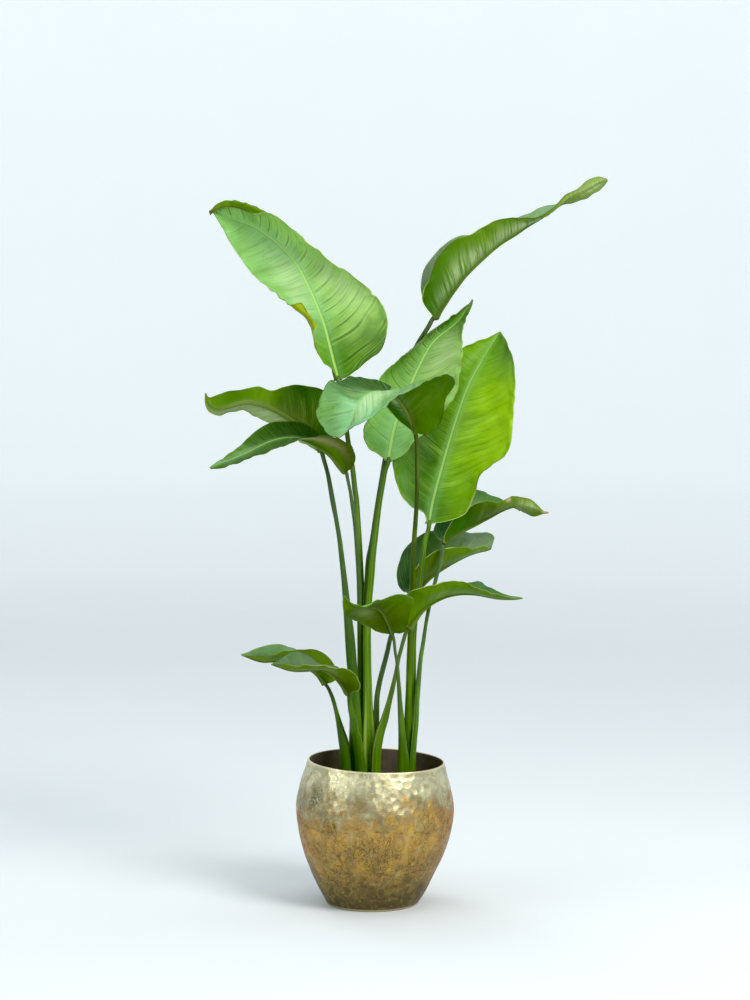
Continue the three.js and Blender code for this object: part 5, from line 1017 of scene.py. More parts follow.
def curl(p, width, s, look):
    """Curls stretches of the margin over the upper face, with the outline kept."""
    nrm = normals_of(p)
    u = s / s[-1]
    c = len(ACROSS) // 2
    for side, a, b, reach in look.get("roll", ()):
        power = smooth(u, a, a + 0.07) * (smooth(u, b, b - 0.07) if b < 1 else np.ones(len(u)))
        cols = range(c, len(ACROSS)) if side > 0 else range(c, -1, -1)
        cols = list(cols)
        for i in range(len(u)):
            if power[i] < 0.01:
                continue
            line = p[i, cols]
            arc = np.concatenate([[0], np.cumsum(np.linalg.norm(np.diff(line, axis=0), axis=1))])
            full = arc[-1]
            rho = 2.6 * power[i] + 0.01
            turn = 2.75 * power[i]
            hold = min(reach * 1.6, 0.35 * full)
            flat = reach * power[i]
            start = full - hold
            at = lambda q: np.array([np.interp(q, arc, line[:, k]) for k in range(3)]).T
            ref = at(np.array([full - rho, full - rho - 2.0]))
            t = unit(ref[0] - ref[1])
            n = unit(nrm[i, cols[np.searchsorted(arc, full - rho) - 1]])
            n = unit(n - t * (n @ t))
            length = (hold - rho) + rho * turn + flat
            for idx, col in enumerate(cols):
                if arc[idx] <= start:
                    continue
                g = (arc[idx] - start) / hold * length
                if g < hold - rho:
                    q = at(np.array([start + g]))[0]
                else:
                    h = g - (hold - rho)
                    w = min(h / rho, turn)
                    q = ref[0] + rho * math.sin(w) * t + rho * (1 - math.cos(w)) * n
                    if h / rho > turn:
                        q = q + (h - rho * turn) * (math.cos(turn) * t + math.sin(turn) * n)
                p[i, col] = q
    return p


def normals_of(p):
    n = unit(np.cross(np.gradient(p, axis=1), np.gradient(p, axis=0)))
    n[:2], n[-3:] = n[2], n[-4]
    return unit(n)


def build_blade(name, index):
    look = LOOK[name]
    p, s, width, mid, along = blade_surface(name)
    n, k = p.shape[:2]
    total = s[-1]
    u = (s / total)[:, None] * np.ones((1, k))
    v = ACROSS[None, :] * np.ones((n, 1))
    d = np.abs(v) * width
    rim = (1 - np.abs(v)) * width
    mm = s[:, None] * np.ones((1, k))
    vein = mm - 0.42 * d - 0.0032 * d * d + 400 + np.where(v < 0, 5.2, 0.0)
    p = curl(p, width, s, look)
    nrm = normals_of(p)
    warp = waves(100 + index, 60.0)(p)
    uneven = np.interp(vein, np.arange(300, 900, 1.0), 1.6 * np.sin(np.arange(300, 900) / 13.0 + index) + 1.1 * np.sin(np.arange(300, 900) / 5.3 + 2 * index))
    phase = (vein + uneven + 1.2 * warp) / look.get("gap", 12.2)
    frac = phase - np.floor(phase)
    arch = (4 * frac * (1 - frac)) ** 0.7 - 0.6
    force = np.clip(0.62 + 0.45 * waves(500 + index, 80.0)(p), 0.15, 1.2)
    ends = smooth(u, 0.0, 0.06) * smooth(1 - u, 0.0, 0.1)
    lift = np.where(v < 0, look["pleat"][0], look["pleat"][1]) * arch * force * smooth(d, 2.0, 12.0) * (0.3 + 0.7 * smooth(rim, 0, 18.0)) * ends
    lift += 0.12 * np.sin(2 * math.pi * vein / 2.3 + 5.0 * warp) * smooth(d, 2.0, 6.0) * ends
    lift += 0.9 * waves(200 + index, 44.0)(p) * smooth(d, 6.0, 40.0) * ends
    lift += 0.8 * waves(300 + index, 17.0)(p) * smooth(rim, 12.0, 0.0) * smooth(d, 4.0, 20.0) * ends
    lift -= 0.35 * smooth(rim, 1.6, 0.0) * smooth(d, 3.0, 8.0)
    groove = np.interp(u[:, 0], [0, 0.3, 1], [1.2, 0.8, 0.25])[:, None]
    gw = np.interp(u[:, 0], [0, 0.3, 1], [3.6, 2.6, 0.9])[:, None]
    lift -= groove * np.exp(-((d / gw) ** 2))
    top = p + nrm * lift[..., None]
    thick = 0.55 + 0.35 * smooth(rim, 0.0, 8.0)
    w0 = STALKS[name][0][3]
    keel = np.interp(u[:, 0], [0, 0.12, 0.4, 0.85, 1], [0.62 * w0, 0.45 * w0, 0.26 * w0, 0.9, 0.35])[:, None]
    kw = np.interp(u[:, 0], [0, 0.12, 0.4, 0.85, 1], [0.5 * w0, 0.42 * w0, 0.3 * w0, 1.1, 0.6])[:, None]
    bottom = top - nrm * (thick + keel * np.sqrt(np.maximum(0, 1 - (d / kw) ** 2)) + 0.35 * keel * np.exp(-((d / (1.5 * kw)) ** 2)))[..., None]
    pts = np.concatenate([top.reshape(-1, 3), bottom.reshape(-1, 3)])
    m = n * k
    i = np.arange(n - 1)[:, None] * k
    j = np.arange(k - 1)[None, :]
    a, b, c, e = i + j, i + j + 1, i + k + j + 1, i + k + j
    over = np.stack([a, b, c, e], -1).reshape(-1, 4)
    down = np.stack([a, e, c, b], -1).reshape(-1, 4) + m
    r = np.arange(n - 1) * k
    lft = np.stack([r, r + k, r + k + m, r + m], -1)
    rr = r + k - 1
    rgt = np.stack([rr, rr + m, rr + k + m, rr + k], -1)
    q = np.arange(k - 1)
    base = np.stack([q, q + m, q + 1 + m, q + 1], -1)
    t = (n - 1) * k + q
    tip = np.stack([t, t + 1, t + 1 + m, t + m], -1)
    faces = np.concatenate([over, down, lft, rgt, base, tip])
    side = np.concatenate([np.ones(m), np.zeros(m)])
    two = lambda x: np.concatenate([x.ravel(), x.ravel()])
    tint = np.zeros((2 * m, 3))
    uu, vv = two(u), two(v)
    for face, key in ((1, "up"), (0, "low")):
        on = side == face
        w = np.ones(on.sum()) * 0.4
        c3 = G[look[key]][None, :] * w[:, None]
        for tf, tu, tv, ru, rv, name3 in look["touch"]:
            if tf == face:
                g = 3.2 * np.exp(-(((uu[on] - tu) / ru) ** 2) - ((vv[on] - tv) / rv) ** 2)
                c3 = c3 + G[name3][None, :] * g[:, None]
                w = w + g
        tint[on] = c3 / w[:, None]
    dull = smooth(tint @ np.array([0.21, 0.72, 0.07]), 0.14, 0.04) * (side == 1)
    # sheen patches mark where the painted sheen streaks go
    sheen = np.zeros(2 * m)
    for tf, tu, tv, ru, rv in look.get("sheen", ()):
        sheen = np.maximum(sheen, (side == tf) * np.exp(-(((uu - tu) / ru) ** 2) - ((vv - tv) / rv) ** 2))
    dry = np.zeros(2 * m)
    for du, dv, reach in look.get("dry", ()):
        dry = np.maximum(dry, smooth(np.hypot(uu - du, (vv - dv) * 0.1), reach, reach * 0.4))
    ob = make("blade_" + name + "_leaf", pts, faces, dict(rib=two(d), rim=two(rim), vein=two(vein), along=uu, pleat=two(phase), dry=dry, dull=dull, sheen=sheen, ribs=np.full(2 * m, look.get("ribs", 1.0)), crisp=two(np.where(v < 0, look["crisp"][0], look["crisp"][1])), half=two((v < 0) * 1.0)), tint)
    slot = np.ones(len(faces), np.int32)
    slot[:len(over)] = 0
    ob.data.materials.append(MAT["upper"])
    ob.data.materials.append(MAT["lower"])
    ob.data.polygons.foreach_set("material_index", slot)
    return ob, (p, nrm, mid, along, s, u)


# ------------------------------------------------------------------ leaf stalks

SIDES = 28


def build_stalk(name, index, blade):
    p, nrm, mid, along, s, u = blade
    path = np.array(STALKS[name], float)[::-1]
    foot = path[0].copy()
    foot[2] = CROWN_TOP + 0.5
    rows = [foot, *path]
    c = nrm.shape[1] // 2
    run = min(34.0, 0.2 * s[-1])
    w0 = path[-1][3]
    for f in (0.25, 0.6, 1.0):
        i = int(np.searchsorted(s, f * run))
        w = w0 * (1 - 0.62 * f)
        rows.append([*(mid[i] - nrm[i, c] * (0.5 * w + 1.6)), w])
    rows, ln = even(np.array(rows), 2.4)
    ctr, w = rows[:, :3], np.maximum(rows[:, 3], 0.8)
    n = len(ctr)
    t = unit(np.gradient(ctr, axis=0))
    up = nrm[2, c]
    right = unit(np.cross(up, t[-1]))
    frames = np.zeros((n, 3))
    frames[-1] = right
    for i in range(n - 2, -1, -1):
        x = frames[i + 1] - t[i] * (frames[i + 1] @ t[i])
        frames[i] = unit(x)
    back = np.cross(t, frames)
    ang = np.arange(SIDES) * 2 * math.pi / SIDES
    z = ctr[:, 2]
    low = smooth(z, 330.0, 165.0)[:, None]
    grow = 1 + 0.03 * waves(400 + index, 55.0)(ctr)[:, None]
    swell = {"top_left": 0.5, "centre": 0.85, "small_front": 0.3, "left_upper": 0.25, "low_right": 0.4, "small_back": 0.2}.get(name, 0.12)
    rad = 0.5 * w[:, None] * (1 + swell * smooth(z, 300.0, 180.0)[:, None]) * grow * np.ones((1, SIDES))
    face = np.cos(ang - math.pi / 2)[None, :]  # 1 on the side of the blade's upper face
    chan = np.exp(-(((ang - math.pi / 2) / 0.42) ** 2))[None, :]
    rad = rad * (1 - (0.2 + 0.22 * low) * chan)
    rad = rad * (1 + 0.05 * np.exp(-(((ang - math.pi / 2 - 0.8) / 0.25) ** 2))[None, :] + 0.05 * np.exp(-(((ang - math.pi / 2 + 0.8) / 0.25) ** 2))[None, :])
    flat = 1 - 0.1 * np.abs(np.sin(ang))[None, :]
    rad = rad * flat * (1 + 0.22 * low * np.abs(np.cos(ang))[None, :] - 0.1 * low * np.abs(np.sin(ang))[None, :])
    lipl = np.exp(-(((ang - math.pi / 2 - 0.78) / 0.16) ** 2)) + np.exp(-(((ang - math.pi / 2 + 0.78) / 0.16) ** 2))
    rad = rad * (1 + 0.1 * low * lipl[None, :])
    rad[-1] *= 0.35
    rad[0] *= 0.97
    pts = ctr[:, None] + rad[..., None] * (np.cos(ang)[None, :, None] * frames[:, None] + np.sin(ang)[None, :, None] * back[:, None])
    pts = pts.reshape(-1, 3)
    faces = ring_faces(n, SIDES)
    pts = np.vstack([pts, ctr[0], ctr[-1] + t[-1] * 0.5])
    k = np.arange(SIDES)
    k2 = (k + 1) % SIDES
    e = (n - 1) * SIDES
    fan = np.concatenate([np.stack([k2, k, np.full(SIDES, len(pts) - 2)], -1), np.stack([e + k, e + k2, np.full(SIDES, len(pts) - 1)], -1)])
    height = pts[:, 2]
    ch = np.concatenate([np.repeat(chan, n, 0).ravel(), [0, 0]])
    h = np.clip((height - 180) / min(400.0, ctr[-1, 2] - 190), 0, 1)[:, None]
    high = {"front_folded": (58, 66, 20), "left_upper": (84, 104, 66), "left_lower": (86, 108, 70), "top_left": (72, 100, 36), "top_right": (82, 100, 62), "right_back": (84, 90, 74), "right_upper": (84, 108, 66), "low_front": (86, 100, 66), "low_right": (78, 92, 50), "small_back": (62, 80, 44), "small_front": (70, 100, 26)}.get(name, (70, 106, 26))
    # painted light: the brighter feet listed here stand for light on the front of the crowded stalk bases
    foot_tone = {"centre": (118, 164, 10), "low_right": (100, 140, 8), "top_left": (96, 140, 4)}.get(name, (78, 118, 0))
    tone = srgb(*foot_tone) * (1 - h) + srgb(*high) * h
    tone = tone * (0.74 + 0.1 * np.sin(index * 2.1))
    lips = np.concatenate([np.repeat(lipl[None, :], n, 0).ravel(), [0, 0]])
    ob = make("stalk_" + name + "_stem", pts, [faces, fan], dict(height=height, channel=ch, sheath=lips), tone)
    return ob


# ------------------------------------------------------------------ metal pot


def along_profile(profile, step):
    q = np.array(profile, float)
    rows, _ = even(np.column_stack([q, np.zeros(len(q))]), step)
    return rows[:, :2]


def build_pot():
    outer = np.array([
        [64.2, 2.6], [69, 10], [76, 23], [83.2, 38], [90, 52.5], [95.7, 66.5], [100.3, 80.5], [104.4, 94.5], [107.4, 108.5],
        [109.4, 122], [109.9, 133], [109, 145], [106, 158.5], [102.6, 172], [98.4, 186], [94.9, 197.6]])
    body = along_profile(outer, 1.5)
    foot = np.array([[30, 0.9], [44, 0.7], [52, 0.5], [56, 0.0], [60.4, 0.0], [62.2, 0.1], [63.6, 0.6], [64.4, 1.4], [64.5, 2.1]])
    lip = np.array([[94.7, 198.4], [94.6, 199.3], [94.2, 199.9], [93.5, 200.1], [92.8, 199.9], [92.4, 199.3], [92.3, 198.5]])
    t = unit(np.gradient(body, axis=0))
    inner = (body + np.column_stack([-t[:, 1], t[:, 0]]) * 2.1)[::-1]
    inner = inner[(inner[:, 1] > 4.5) & (inner[:, 1] < 197.5)][::3]
    floor = np.array([[60, 3.2], [54, 2.5], [30, 2.4]])
    prof = np.vstack([foot, body[1:], lip, inner, floor])
    n = 420
    ang = np.arange(n) * 2 * math.pi / n
    rows = len(prof)
    r, z = prof[:, 0][:, None], prof[:, 1][:, None]
    x, y = np.cos(ang)[None, :], np.sin(ang)[None, :]
    p = np.stack([r * x, r * y, z * np.ones_like(x)], -1)
    first, last = len(foot), len(foot) + len(body) - 1
    isbody = np.zeros(rows)
    isbody[first:last] = 1
    isin = np.zeros(rows)
    isin[last + 4:] = 1
    # hammer marks: shallow bowls round jittered points, closest one wins
    rng = np.random.default_rng(11)
    marks = []
    arc = np.concatenate([[0], np.cumsum(np.linalg.norm(np.diff(body, axis=0), axis=1))])
    for level in np.arange(4, arc[-1], 10.0):
        rr, zz = np.interp(level, arc, body[:, 0]), np.interp(level, arc, body[:, 1])
        count = int(2 * math.pi * rr / 12.4)
        for a in np.arange(count) / count * 2 * math.pi + rng.uniform(0, 1):
            ja, jz = rng.uniform(-0.3, 0.3) * 12.4 / rr, rng.uniform(-3.2, 3.2)
            marks.append([rr * math.cos(a + ja), rr * math.sin(a + ja), zz + jz])
    marks = np.array(marks)
    press = rng.uniform(0.55, 1.25, len(marks))
    depth = np.zeros((rows, n))
    ridge = np.zeros((rows, n))
    for i in range(first, last):
        near = marks[np.abs(marks[:, 2] - prof[i, 1]) < 16]
        pr = press[np.abs(marks[:, 2] - prof[i, 1]) < 16]
        dist = np.linalg.norm(p[i][:, None] - near[None], axis=2)
        o = np.sort(dist, axis=1)[:, :2]
        which = dist.argmin(axis=1)
        gap = o[:, 1] - o[:, 0]
        depth[i] = pr[which] * np.clip(1 - (o[:, 0] / 8.2) ** 2, 0, 1)
        ridge[i] = np.exp(-((gap / 1.6) ** 2))
    fade = (smooth(prof[:, 1], 3, 14) * smooth(prof[:, 1], 199, 191))[:, None] * isbody[:, None]
    strength = 0.3 + 0.95 * smooth(prof[:, 1], 95, 160)[:, None]
    wob = waves(21, 70.0)(p) * 0.5
    nrm = np.zeros_like(p)
    tt = unit(np.gradient(prof, axis=0))
    nrm[..., 0], nrm[..., 1], nrm[..., 2] = tt[:, 1][:, None] * x, tt[:, 1][:, None] * y, -tt[:, 0][:, None] * np.ones_like(x)
    p += nrm * ((-0.72 * depth * strength + 0.06 * ridge + 0.7 * wob) * fade)[..., None]
    p = lean(p).reshape(-1, 3)
    p = np.vstack([p, lean([[0, 0, 0.9], [0, 0, 2.4]])])
    faces = ring_faces(rows, n)
    k = np.arange(n)
    k2 = (k + 1) % n
    end = (rows - 1) * n
    fan = np.concatenate([np.stack([k2, k, np.full(n, len(p) - 2)], -1), np.stack([end + k, end + k2, np.full(n, len(p) - 1)], -1)])
    inside0 = isin[:, None]
    zz, aa = prof[:, 1][:, None] * np.ones((1, n)), ang[None, :] * np.ones((rows, 1))
    base = p[:rows * n].reshape(rows, n, 3)
    # where the pale top meets the ochre bottom; the ochre is partly the metal's gold, partly painted reflection of a
    # wooden floor
    edge = 142 + 10 * np.cos(aa) + 7 * waves(31, 60.0)(base) + 5 * waves(32, 17.0)(base)
    gold = smooth(edge - zz, -26, 22) * (0.9 + 0.1 * waves(36, 24.0)(base))
    gold = np.clip(gold + 0.3 * waves(37, 12.0)(base) * smooth(gold, 0.02, 0.3) * smooth(gold, 0.9, 0.5), 0, 1)
    band = smooth(zz + 6 * waves(38, 30.0)(base), 182, 152) * (1 - inside0)
    speck = np.exp(-((np.linalg.norm(base - np.array([-80.0, -68.0, 158.0]), axis=2) / 13.0) ** 2)) * (1 - inside0)
    # painted shade, strongest at the bottom and gone by about 92 mm up
    bottom_shade = np.clip(smooth(zz, 92 + 16 * waves(33, 30.0)(base), 10) * 0.97, 0, 1)
    # pale rows: the rolled lip at the top, and a painted highlight along the bottom edge
    lip_pale_and_base_highlight = (np.abs(np.arange(rows) - (last + 2)) <= 2)[:, None] * np.ones((1, n)) * 0.8 + (np.abs(zz - 1.4) < 1.0) * (1 - isin[:, None]) * 0.55
    # painted reflection: two faint wavy lines where the floor's plank joints mirror in the belly
    plank_reflection = np.exp(-(((zz - (118 + 2.2 * np.sin(3 * aa) + 1.5 * waves(34, 30.0)(base))) / 0.8) ** 2)) + 0.8 * np.exp(-(((zz - (60 + 2.0 * np.sin(2 * aa + 1) + 1.5 * waves(35, 26.0)(base))) / 0.8) ** 2))
    inside = isin[:, None] * np.ones((1, n))
    pad = lambda q, a, b: np.concatenate([np.asarray(q).ravel(), [a, b]])
    ob = make("hammered_pot", p, [faces, fan], dict(gold=pad(gold, 1, 0), ridge_glint=pad(ridge * fade, 0, 0), inside=pad(inside, 0, 1), foot=pad(bottom_shade, 1, 0), plank_reflection=pad(plank_reflection * (1 - inside), 0, 0), lip=pad(lip_pale_and_base_highlight, 0, 0), band=pad(band, 0, 0), speck=pad(speck, 0, 0), warm=pad(smooth(np.abs(np.cos(aa)), 0.7, 0.97) * smooth(zz, 30, 90), 0, 0)))
    return ob


def lathe_object(name, profile, n, warp=None, attrs=()):
    prof = np.array(profile, float)
    rows = len(prof)
    ang = np.arange(n) * 2 * math.pi / n
    p = np.stack([prof[:, 0][:, None] * np.cos(ang), prof[:, 0][:, None] * np.sin(ang), prof[:, 1][:, None] * np.ones(n)], -1)
    if warp is not None:
        p = warp(p, prof, ang)
    p = p.reshape(-1, 3)
    a, b = p[:n].mean(0), p[-n:].mean(0)
    p = np.vstack([p, a, b])
    k = np.arange(n)
    k2 = (k + 1) % n
    end = (rows - 1) * n
    fan = np.concatenate([np.stack([k2, k, np.full(n, len(p) - 2)], -1), np.stack([end + k, end + k2, np.full(n, len(p) - 1)], -1)])
    return p, [ring_faces(rows, n), fan]


def build_nursery():
    g = lambda z: 54 + 28 * (z - 2.6) / 151.4
    prof = [[20, 2.9], [46, 2.9], [50, 2.6], [52.4, 2.8], [53.6, 3.6], [54.2, 5.2]]
    prof += [[g(z), z] for z in np.arange(8, 141, 6.0)]
    prof += [[g(142), 142], [g(145) + 0.2, 145], [g(146) + 2.2, 146.2], [g(146) + 3.1, 146.9], [g(146) + 3.4, 148.2], [g(146) + 3.5, 151], [g(146) + 3.6, 152.6], [g(146) + 3.3, 153.5], [g(146) + 2.4, 153.9],
             [g(146) + 0.9, 153.8], [g(154) - 1.5, 153.2], [g(152) - 1.6, 151.8], [g(148) - 1.6, 148]]
    prof += [[g(z) - 1.6, z] for z in np.arange(140, 9, -12.0)]
    prof += [[g(7) - 1.6, 7], [52, 4.7], [49, 4.3], [20, 4.3]]

    def warp(p, prof, ang):
        rib = (np.cos(ang * 24) > 0.72)[None, :] * ((prof[:, 1] > 20) & (prof[:, 1] < 128) & (np.arange(len(prof)) < 30))[:, None]
        p = p * np.array([1, 1, 1.0])
        p[..., :2] *= (1 - 0.006 * rib)[..., None]
        return lean(p)

    p, f = lathe_object("x", prof, 192, warp)
    return make("nursery_pot_shell", p, f)


def chips(rng, centre_fn, count, size, kind, pts, tris, kinds):
    """Small irregular chunks of bark or perlite."""
    base = np.array([[1, 0, 0], [-1, 0, 0], [0, 1, 0], [0, -1, 0], [0, 0, 1], [0, 0, -1]], float)
    octa = np.array([[0, 2, 4], [2, 1, 4], [1, 3, 4], [3, 0, 4], [2, 0, 5], [1, 2, 5], [3, 1, 5], [0, 3, 5]])
    # one subdivision makes rounder chunks
    verts, cache, out = list(base), {}, []
    for a, b, c in octa:
        ids = []
        for e in ((a, b), (b, c), (c, a)):
            key = tuple(sorted(e))
            if key not in cache:
                verts.append(unit((verts[e[0]] + verts[e[1]])[None])[0])
                cache[key] = len(verts) - 1
            ids.append(cache[key])
        out += [[a, ids[0], ids[2]], [ids[0], b, ids[1]], [ids[2], ids[1], c], ids]
    verts, out = np.array(verts), np.array(out)
    for _ in range(count):
        s = rng.uniform(*size)
        shape = verts * (1 + rng.uniform(-0.3, 0.3, (len(verts), 1))) * (np.array([1, rng.uniform(0.45, 0.8), rng.uniform(0.25, 0.45)]) if kind == 1 else rng.uniform(0.7, 1.0, 3)) * s
        a, b = rng.uniform(0, 2 * math.pi), rng.uniform(-0.5, 0.5)
        rot = np.array([[math.cos(a), -math.sin(a), 0], [math.sin(a), math.cos(a), 0], [0, 0, 1]]) @ np.array([[1, 0, 0], [0, math.cos(b), -math.sin(b)], [0, math.sin(b), math.cos(b)]])
        c = centre_fn(rng)
        if c is None:
            continue
        tris.append(out + sum(len(q) for q in pts))
        pts.append(shape @ rot.T + c + np.array([0, 0, 0.25 * s]))
        kinds.append(np.full(len(verts), kind))


CROWNS = {"left": (-14.0, 6.0, 36.0), "right": (50.5, -1.0, 25.0)}


def soil_height(p):
    return 144.5 + 1.1 * waves(51, 34.0)(p) + 0.9 * waves(52, 9.0)(p) + 0.5 * waves(53, 4.0)(p)


def build_soil():
    g = lambda z: 54 + 28 * (z - 2.6) / 151.4 - 2.0
    n = 240
    prof = [[20, 4.7], [47, 4.7], [50.4, 6.4], [g(9), 9]] + [[g(z), z] for z in np.arange(24, 140, 15.0)]
    top = np.linspace(g(143.5), 3.0, 52)
    ang = np.arange(n) * 2 * math.pi / n
    rows = prof + [[g(143.0), 142.6]] + [[r, 145.0] for r in top]
    q = np.array(rows)
    p = np.stack([q[:, 0][:, None] * np.cos(ang), q[:, 0][:, None] * np.sin(ang), q[:, 1][:, None] * np.ones(n)], -1)
    m = len(prof) + 1
    p = lean(p)
    up = p[m:]
    flat = up.copy()
    flat[..., 2] = 0
    h = soil_height(flat)
    edge = smooth(np.array(top), g(143.5) - 7, g(143.5))[:, None]
    z = h * (1 - edge) + 143.6 * edge
    for x, y, r in CROWNS.values():
        dist = np.hypot(up[..., 0] - x, up[..., 1] - y)
        z = z + 2.2 * np.exp(-(((dist - r - 3) / 5.0) ** 2))
        z = np.where(dist < r - 1, 140.0, z)
    up[..., 2] = z - RIM_TILT * up[..., 0] * 0.7
    p[m:] = up
    p = p.reshape(-1, 3)
    p = np.vstack([p, p[:n].mean(0), [4.0, 0, 140.0]])
    k = np.arange(n)
    k2 = (k + 1) % n
    end = (len(rows) - 1) * n
    fan = np.concatenate([np.stack([k2, k, np.full(n, len(p) - 2)], -1), np.stack([end + k, end + k2, np.full(n, len(p) - 1)], -1)])
    ob = make("potting_soil", p, [ring_faces(len(rows), n), fan], dict(kind=np.zeros(len(p))))
    rng = np.random.default_rng(5)
    pts, tris, kinds = [], [], []

    def spot(r):
        a, rr = r.uniform(0, 2 * math.pi), 74 * math.sqrt(r.uniform(0, 1))
        x, y = rr * math.cos(a) + 3.9, rr * math.sin(a)
        if any(math.hypot(x - cx, y - cy) < cr + 1.5 for cx, cy, cr in CROWNS.values()):
            return None
        z = float(soil_height(np.array([[x, y, 0.0]]))[0]) - RIM_TILT * x * 0.7
        return np.array([x, y, z])

    chips(rng, spot, 420, (1.2, 3.6), 1, pts, tris, kinds)
    chips(rng, spot, 190, (0.7, 1.7), 2, pts, tris, kinds)
    bits = make("bark_and_perlite", np.vstack(pts), np.vstack(tris), dict(kind=np.concatenate(kinds)))
    bits.data.shade_flat()
    return ob, bits


def build_crown(side, index):
    x0, y0, r = CROWNS[side]
    prof = np.array([[r * 0.3, 113], [r * 0.6, 117], [r * 0.82, 124], [r * 0.95, 134]] + [[r - 0.2, z] for z in (140, 143, 146)] + [[r - 1.2, 148.5], [r - 3, 150]] + [[max(q, 1.2), 150.6] for q in np.linspace(r - 5, 1.2, 16)])

    def warp(p, prof, ang):
        bark = 1 + 0.03 * np.sin(9 * ang + 2 * np.sin(3 * ang))[None, :] * (prof[:, 0] / r)[:, None]
        p = p * np.array([1, 1, 1.0])
        p[..., :2] *= np.minimum(bark, 1.0)[..., None]
        f = waves(60 + index, 11.0)(p) * 1.2 + waves(64 + index, 4.0)(p) * 0.4
        topside = smooth(prof[:, 1], 148, 150.5)[:, None]
        p[..., 2] -= np.abs(f) * topside * 2.0
        return p + np.array([x0, y0, 0])

    p, f = lathe_object("x", prof, 150, warp)
    return make("crown_" + side + "_stump", p, f)


# ------------------------------------------------------------------ assembly

MAT = dict(upper=leaf_material(True), lower=leaf_material(False), stalk=stalk_material(), metal=metal_material(), plastic=plastic_material(), soil=soil_material(), crown=crown_material())


def place(ob, mat, slot, *nodes):
    if mat:
        ob.data.materials.append(MAT[mat])
    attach(ob, "root")
    if nodes:
        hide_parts(*nodes)


for index, name in enumerate(BLADES):
    blade, facts = build_blade(name, index)
    place(blade, None, "blade", "blade_" + name)
    place(build_stalk(name, index, facts), "stalk", "stalk", "stalk_" + name)

place(build_pot(), "metal", "metal", "decorative_pot")
place(build_nursery(), "plastic", "plastic", "nursery_pot")
soil, bits = build_soil()
place(soil, "soil", "soil", "soil")
place(bits, "soil", "soil")
for index, side in enumerate(CROWNS):
    place(build_crown(side, index), "crown", "rhizome", "rhizome_" + side)

# ------------------------------------------------------------------ floor, backdrop, light, camera


def round_stage():
    """Pale floor that curves up all round into a plain, softly lit backdrop."""
    flat, rad, high, n = 6.2, 1.6, 4.2, 96
    prof = [(r, 0.0) for r in (0.4, 0.9, 1.5, 2.2, 3.0, 3.8, 4.6, 5.4, flat)]
    prof += [(flat + rad * math.sin(a), rad - rad * math.cos(a)) for a in np.linspace(0, math.pi / 2, 12)[1:]]
    prof += [(flat + rad, z) for z in (2.4, 3.3, high)]
    ang = np.arange(n) * 2 * math.pi / n
    pts = [(0.0, 0.0, 0.0)] + [(r * math.cos(t), r * math.sin(t), z) for r, z in prof for t in ang]
    faces = [(0, 1 + k, 1 + (k + 1) % n) for k in range(n)]
    faces += [(1 + i * n + k, 1 + (i + 1) * n + k, 1 + (i + 1) * n + (k + 1) % n, 1 + i * n + (k + 1) % n) for i in range(len(prof) - 1) for k in range(n)]
    me = bpy.data.meshes.new("studio_floor")
    me.from_pydata(pts, [], faces)
    me.shade_smooth()
    co = np.array(pts)
    reach = np.hypot(co[:, 0], co[:, 1])
    behind = 0.5 + 0.5 * np.sin(np.arctan2(co[:, 1], co[:, 0]))
    lit = smooth(reach, 0.6, 4.5) * (0.26 + 0.12 * smooth(behind, 0.3, 0.9)) + 0.04 * smooth(reach, 5.0, 7.5)
    me.attributes.new("glow", "FLOAT", "POINT").data.foreach_set("value", lit.astype(np.float32))
    ob = bpy.data.objects.new("studio_floor", me)
    bpy.context.scene.collection.objects.link(ob)
    m = Nodes("studio_paper")
    m.set("Base Color", m.mix(m.noise(2.0, 2.0), srgb(214, 219, 220), srgb(218, 223, 224)))
    m.set("Roughness", 0.9)
    m.set("Specular IOR Level", 0.1)
    m.set("Emission Color", (0.93, 0.985, 1.0, 1.0))
    m.set("Emission Strength", m.attr("glow"))
    m.mat.cycles.emission_sampling = "NONE"
    me.materials.append(m.mat)


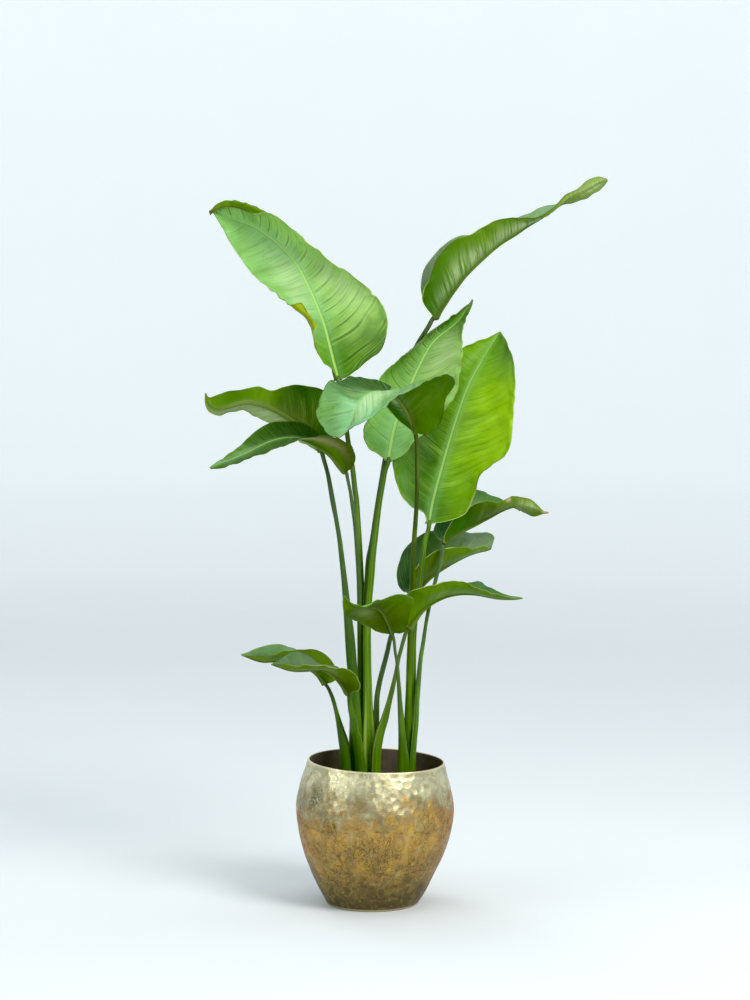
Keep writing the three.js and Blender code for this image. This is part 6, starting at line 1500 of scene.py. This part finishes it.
def area(name, place_at, target, size, watts, colour=(1, 1, 1)):
    light = bpy.data.lights.new(name, "AREA")
    light.shape = "RECTANGLE"
    light.size, light.size_y = size
    light.energy = watts
    light.color = colour
    ob = bpy.data.objects.new(name, light)
    ob.location = place_at
    ob.rotation_euler = (Vector(target) - Vector(place_at)).to_track_quat("-Z", "Y").to_euler()
    bpy.context.scene.collection.objects.link(ob)
    return ob


round_stage()
area("key_window", (1.7, -1.9, 2.3), (0, 0, 0.55), (1.3, 1.5), 84, (1.0, 0.985, 0.96))
area("fill_left", (-2.2, -1.6, 1.3), (0, 0, 0.5), (1.6, 1.8), 9, (0.93, 0.97, 1.0))
area("window_left", (-2.3, -0.9, 1.15), (0, 0, 0.3), (0.5, 0.8), 5, (0.98, 1.0, 1.0))
area("top_soft", (0.1, 0.2, 2.6), (0, 0, 0.5), (1.8, 1.8), 22, (0.97, 0.99, 1.0))
area("front_low", (0.4, -2.7, 1.5), (0, 0, 0.3), (1.0, 0.8), 5, (1.0, 1.0, 1.0))
area("rim_back", (-0.9, 1.3, 1.9), (0, 0, 0.6), (0.8, 1.0), 9, (0.95, 0.98, 1.0))

world = bpy.data.worlds.new("studio")
bpy.context.scene.world = world
world.use_nodes = True
world.node_tree.nodes["Background"].inputs[0].default_value = (0.86, 0.93, 1.0, 1)
world.node_tree.nodes["Background"].inputs[1].default_value = 0.44
bpy.context.scene.view_settings.view_transform = "Standard"
bpy.context.scene.view_settings.use_curve_mapping = True
bpy.context.scene.view_settings.curve_mapping.black_level = (0.008, 0.008, 0.008)
bpy.context.scene.view_settings.curve_mapping.update()

cam = bpy.data.cameras.new("camera")
cam.lens = 116.64
cam.sensor_width = 36
cam.sensor_fit = "AUTO"
cam.clip_end = 50
cam_ob = bpy.data.objects.new("camera", cam)
cam_ob.location = (0.0036, -4.428, 1.0242)
cam_ob.rotation_euler = (math.radians(90 - 5.955), 0, 0)
bpy.context.scene.collection.objects.link(cam_ob)
bpy.context.scene.camera = cam_ob
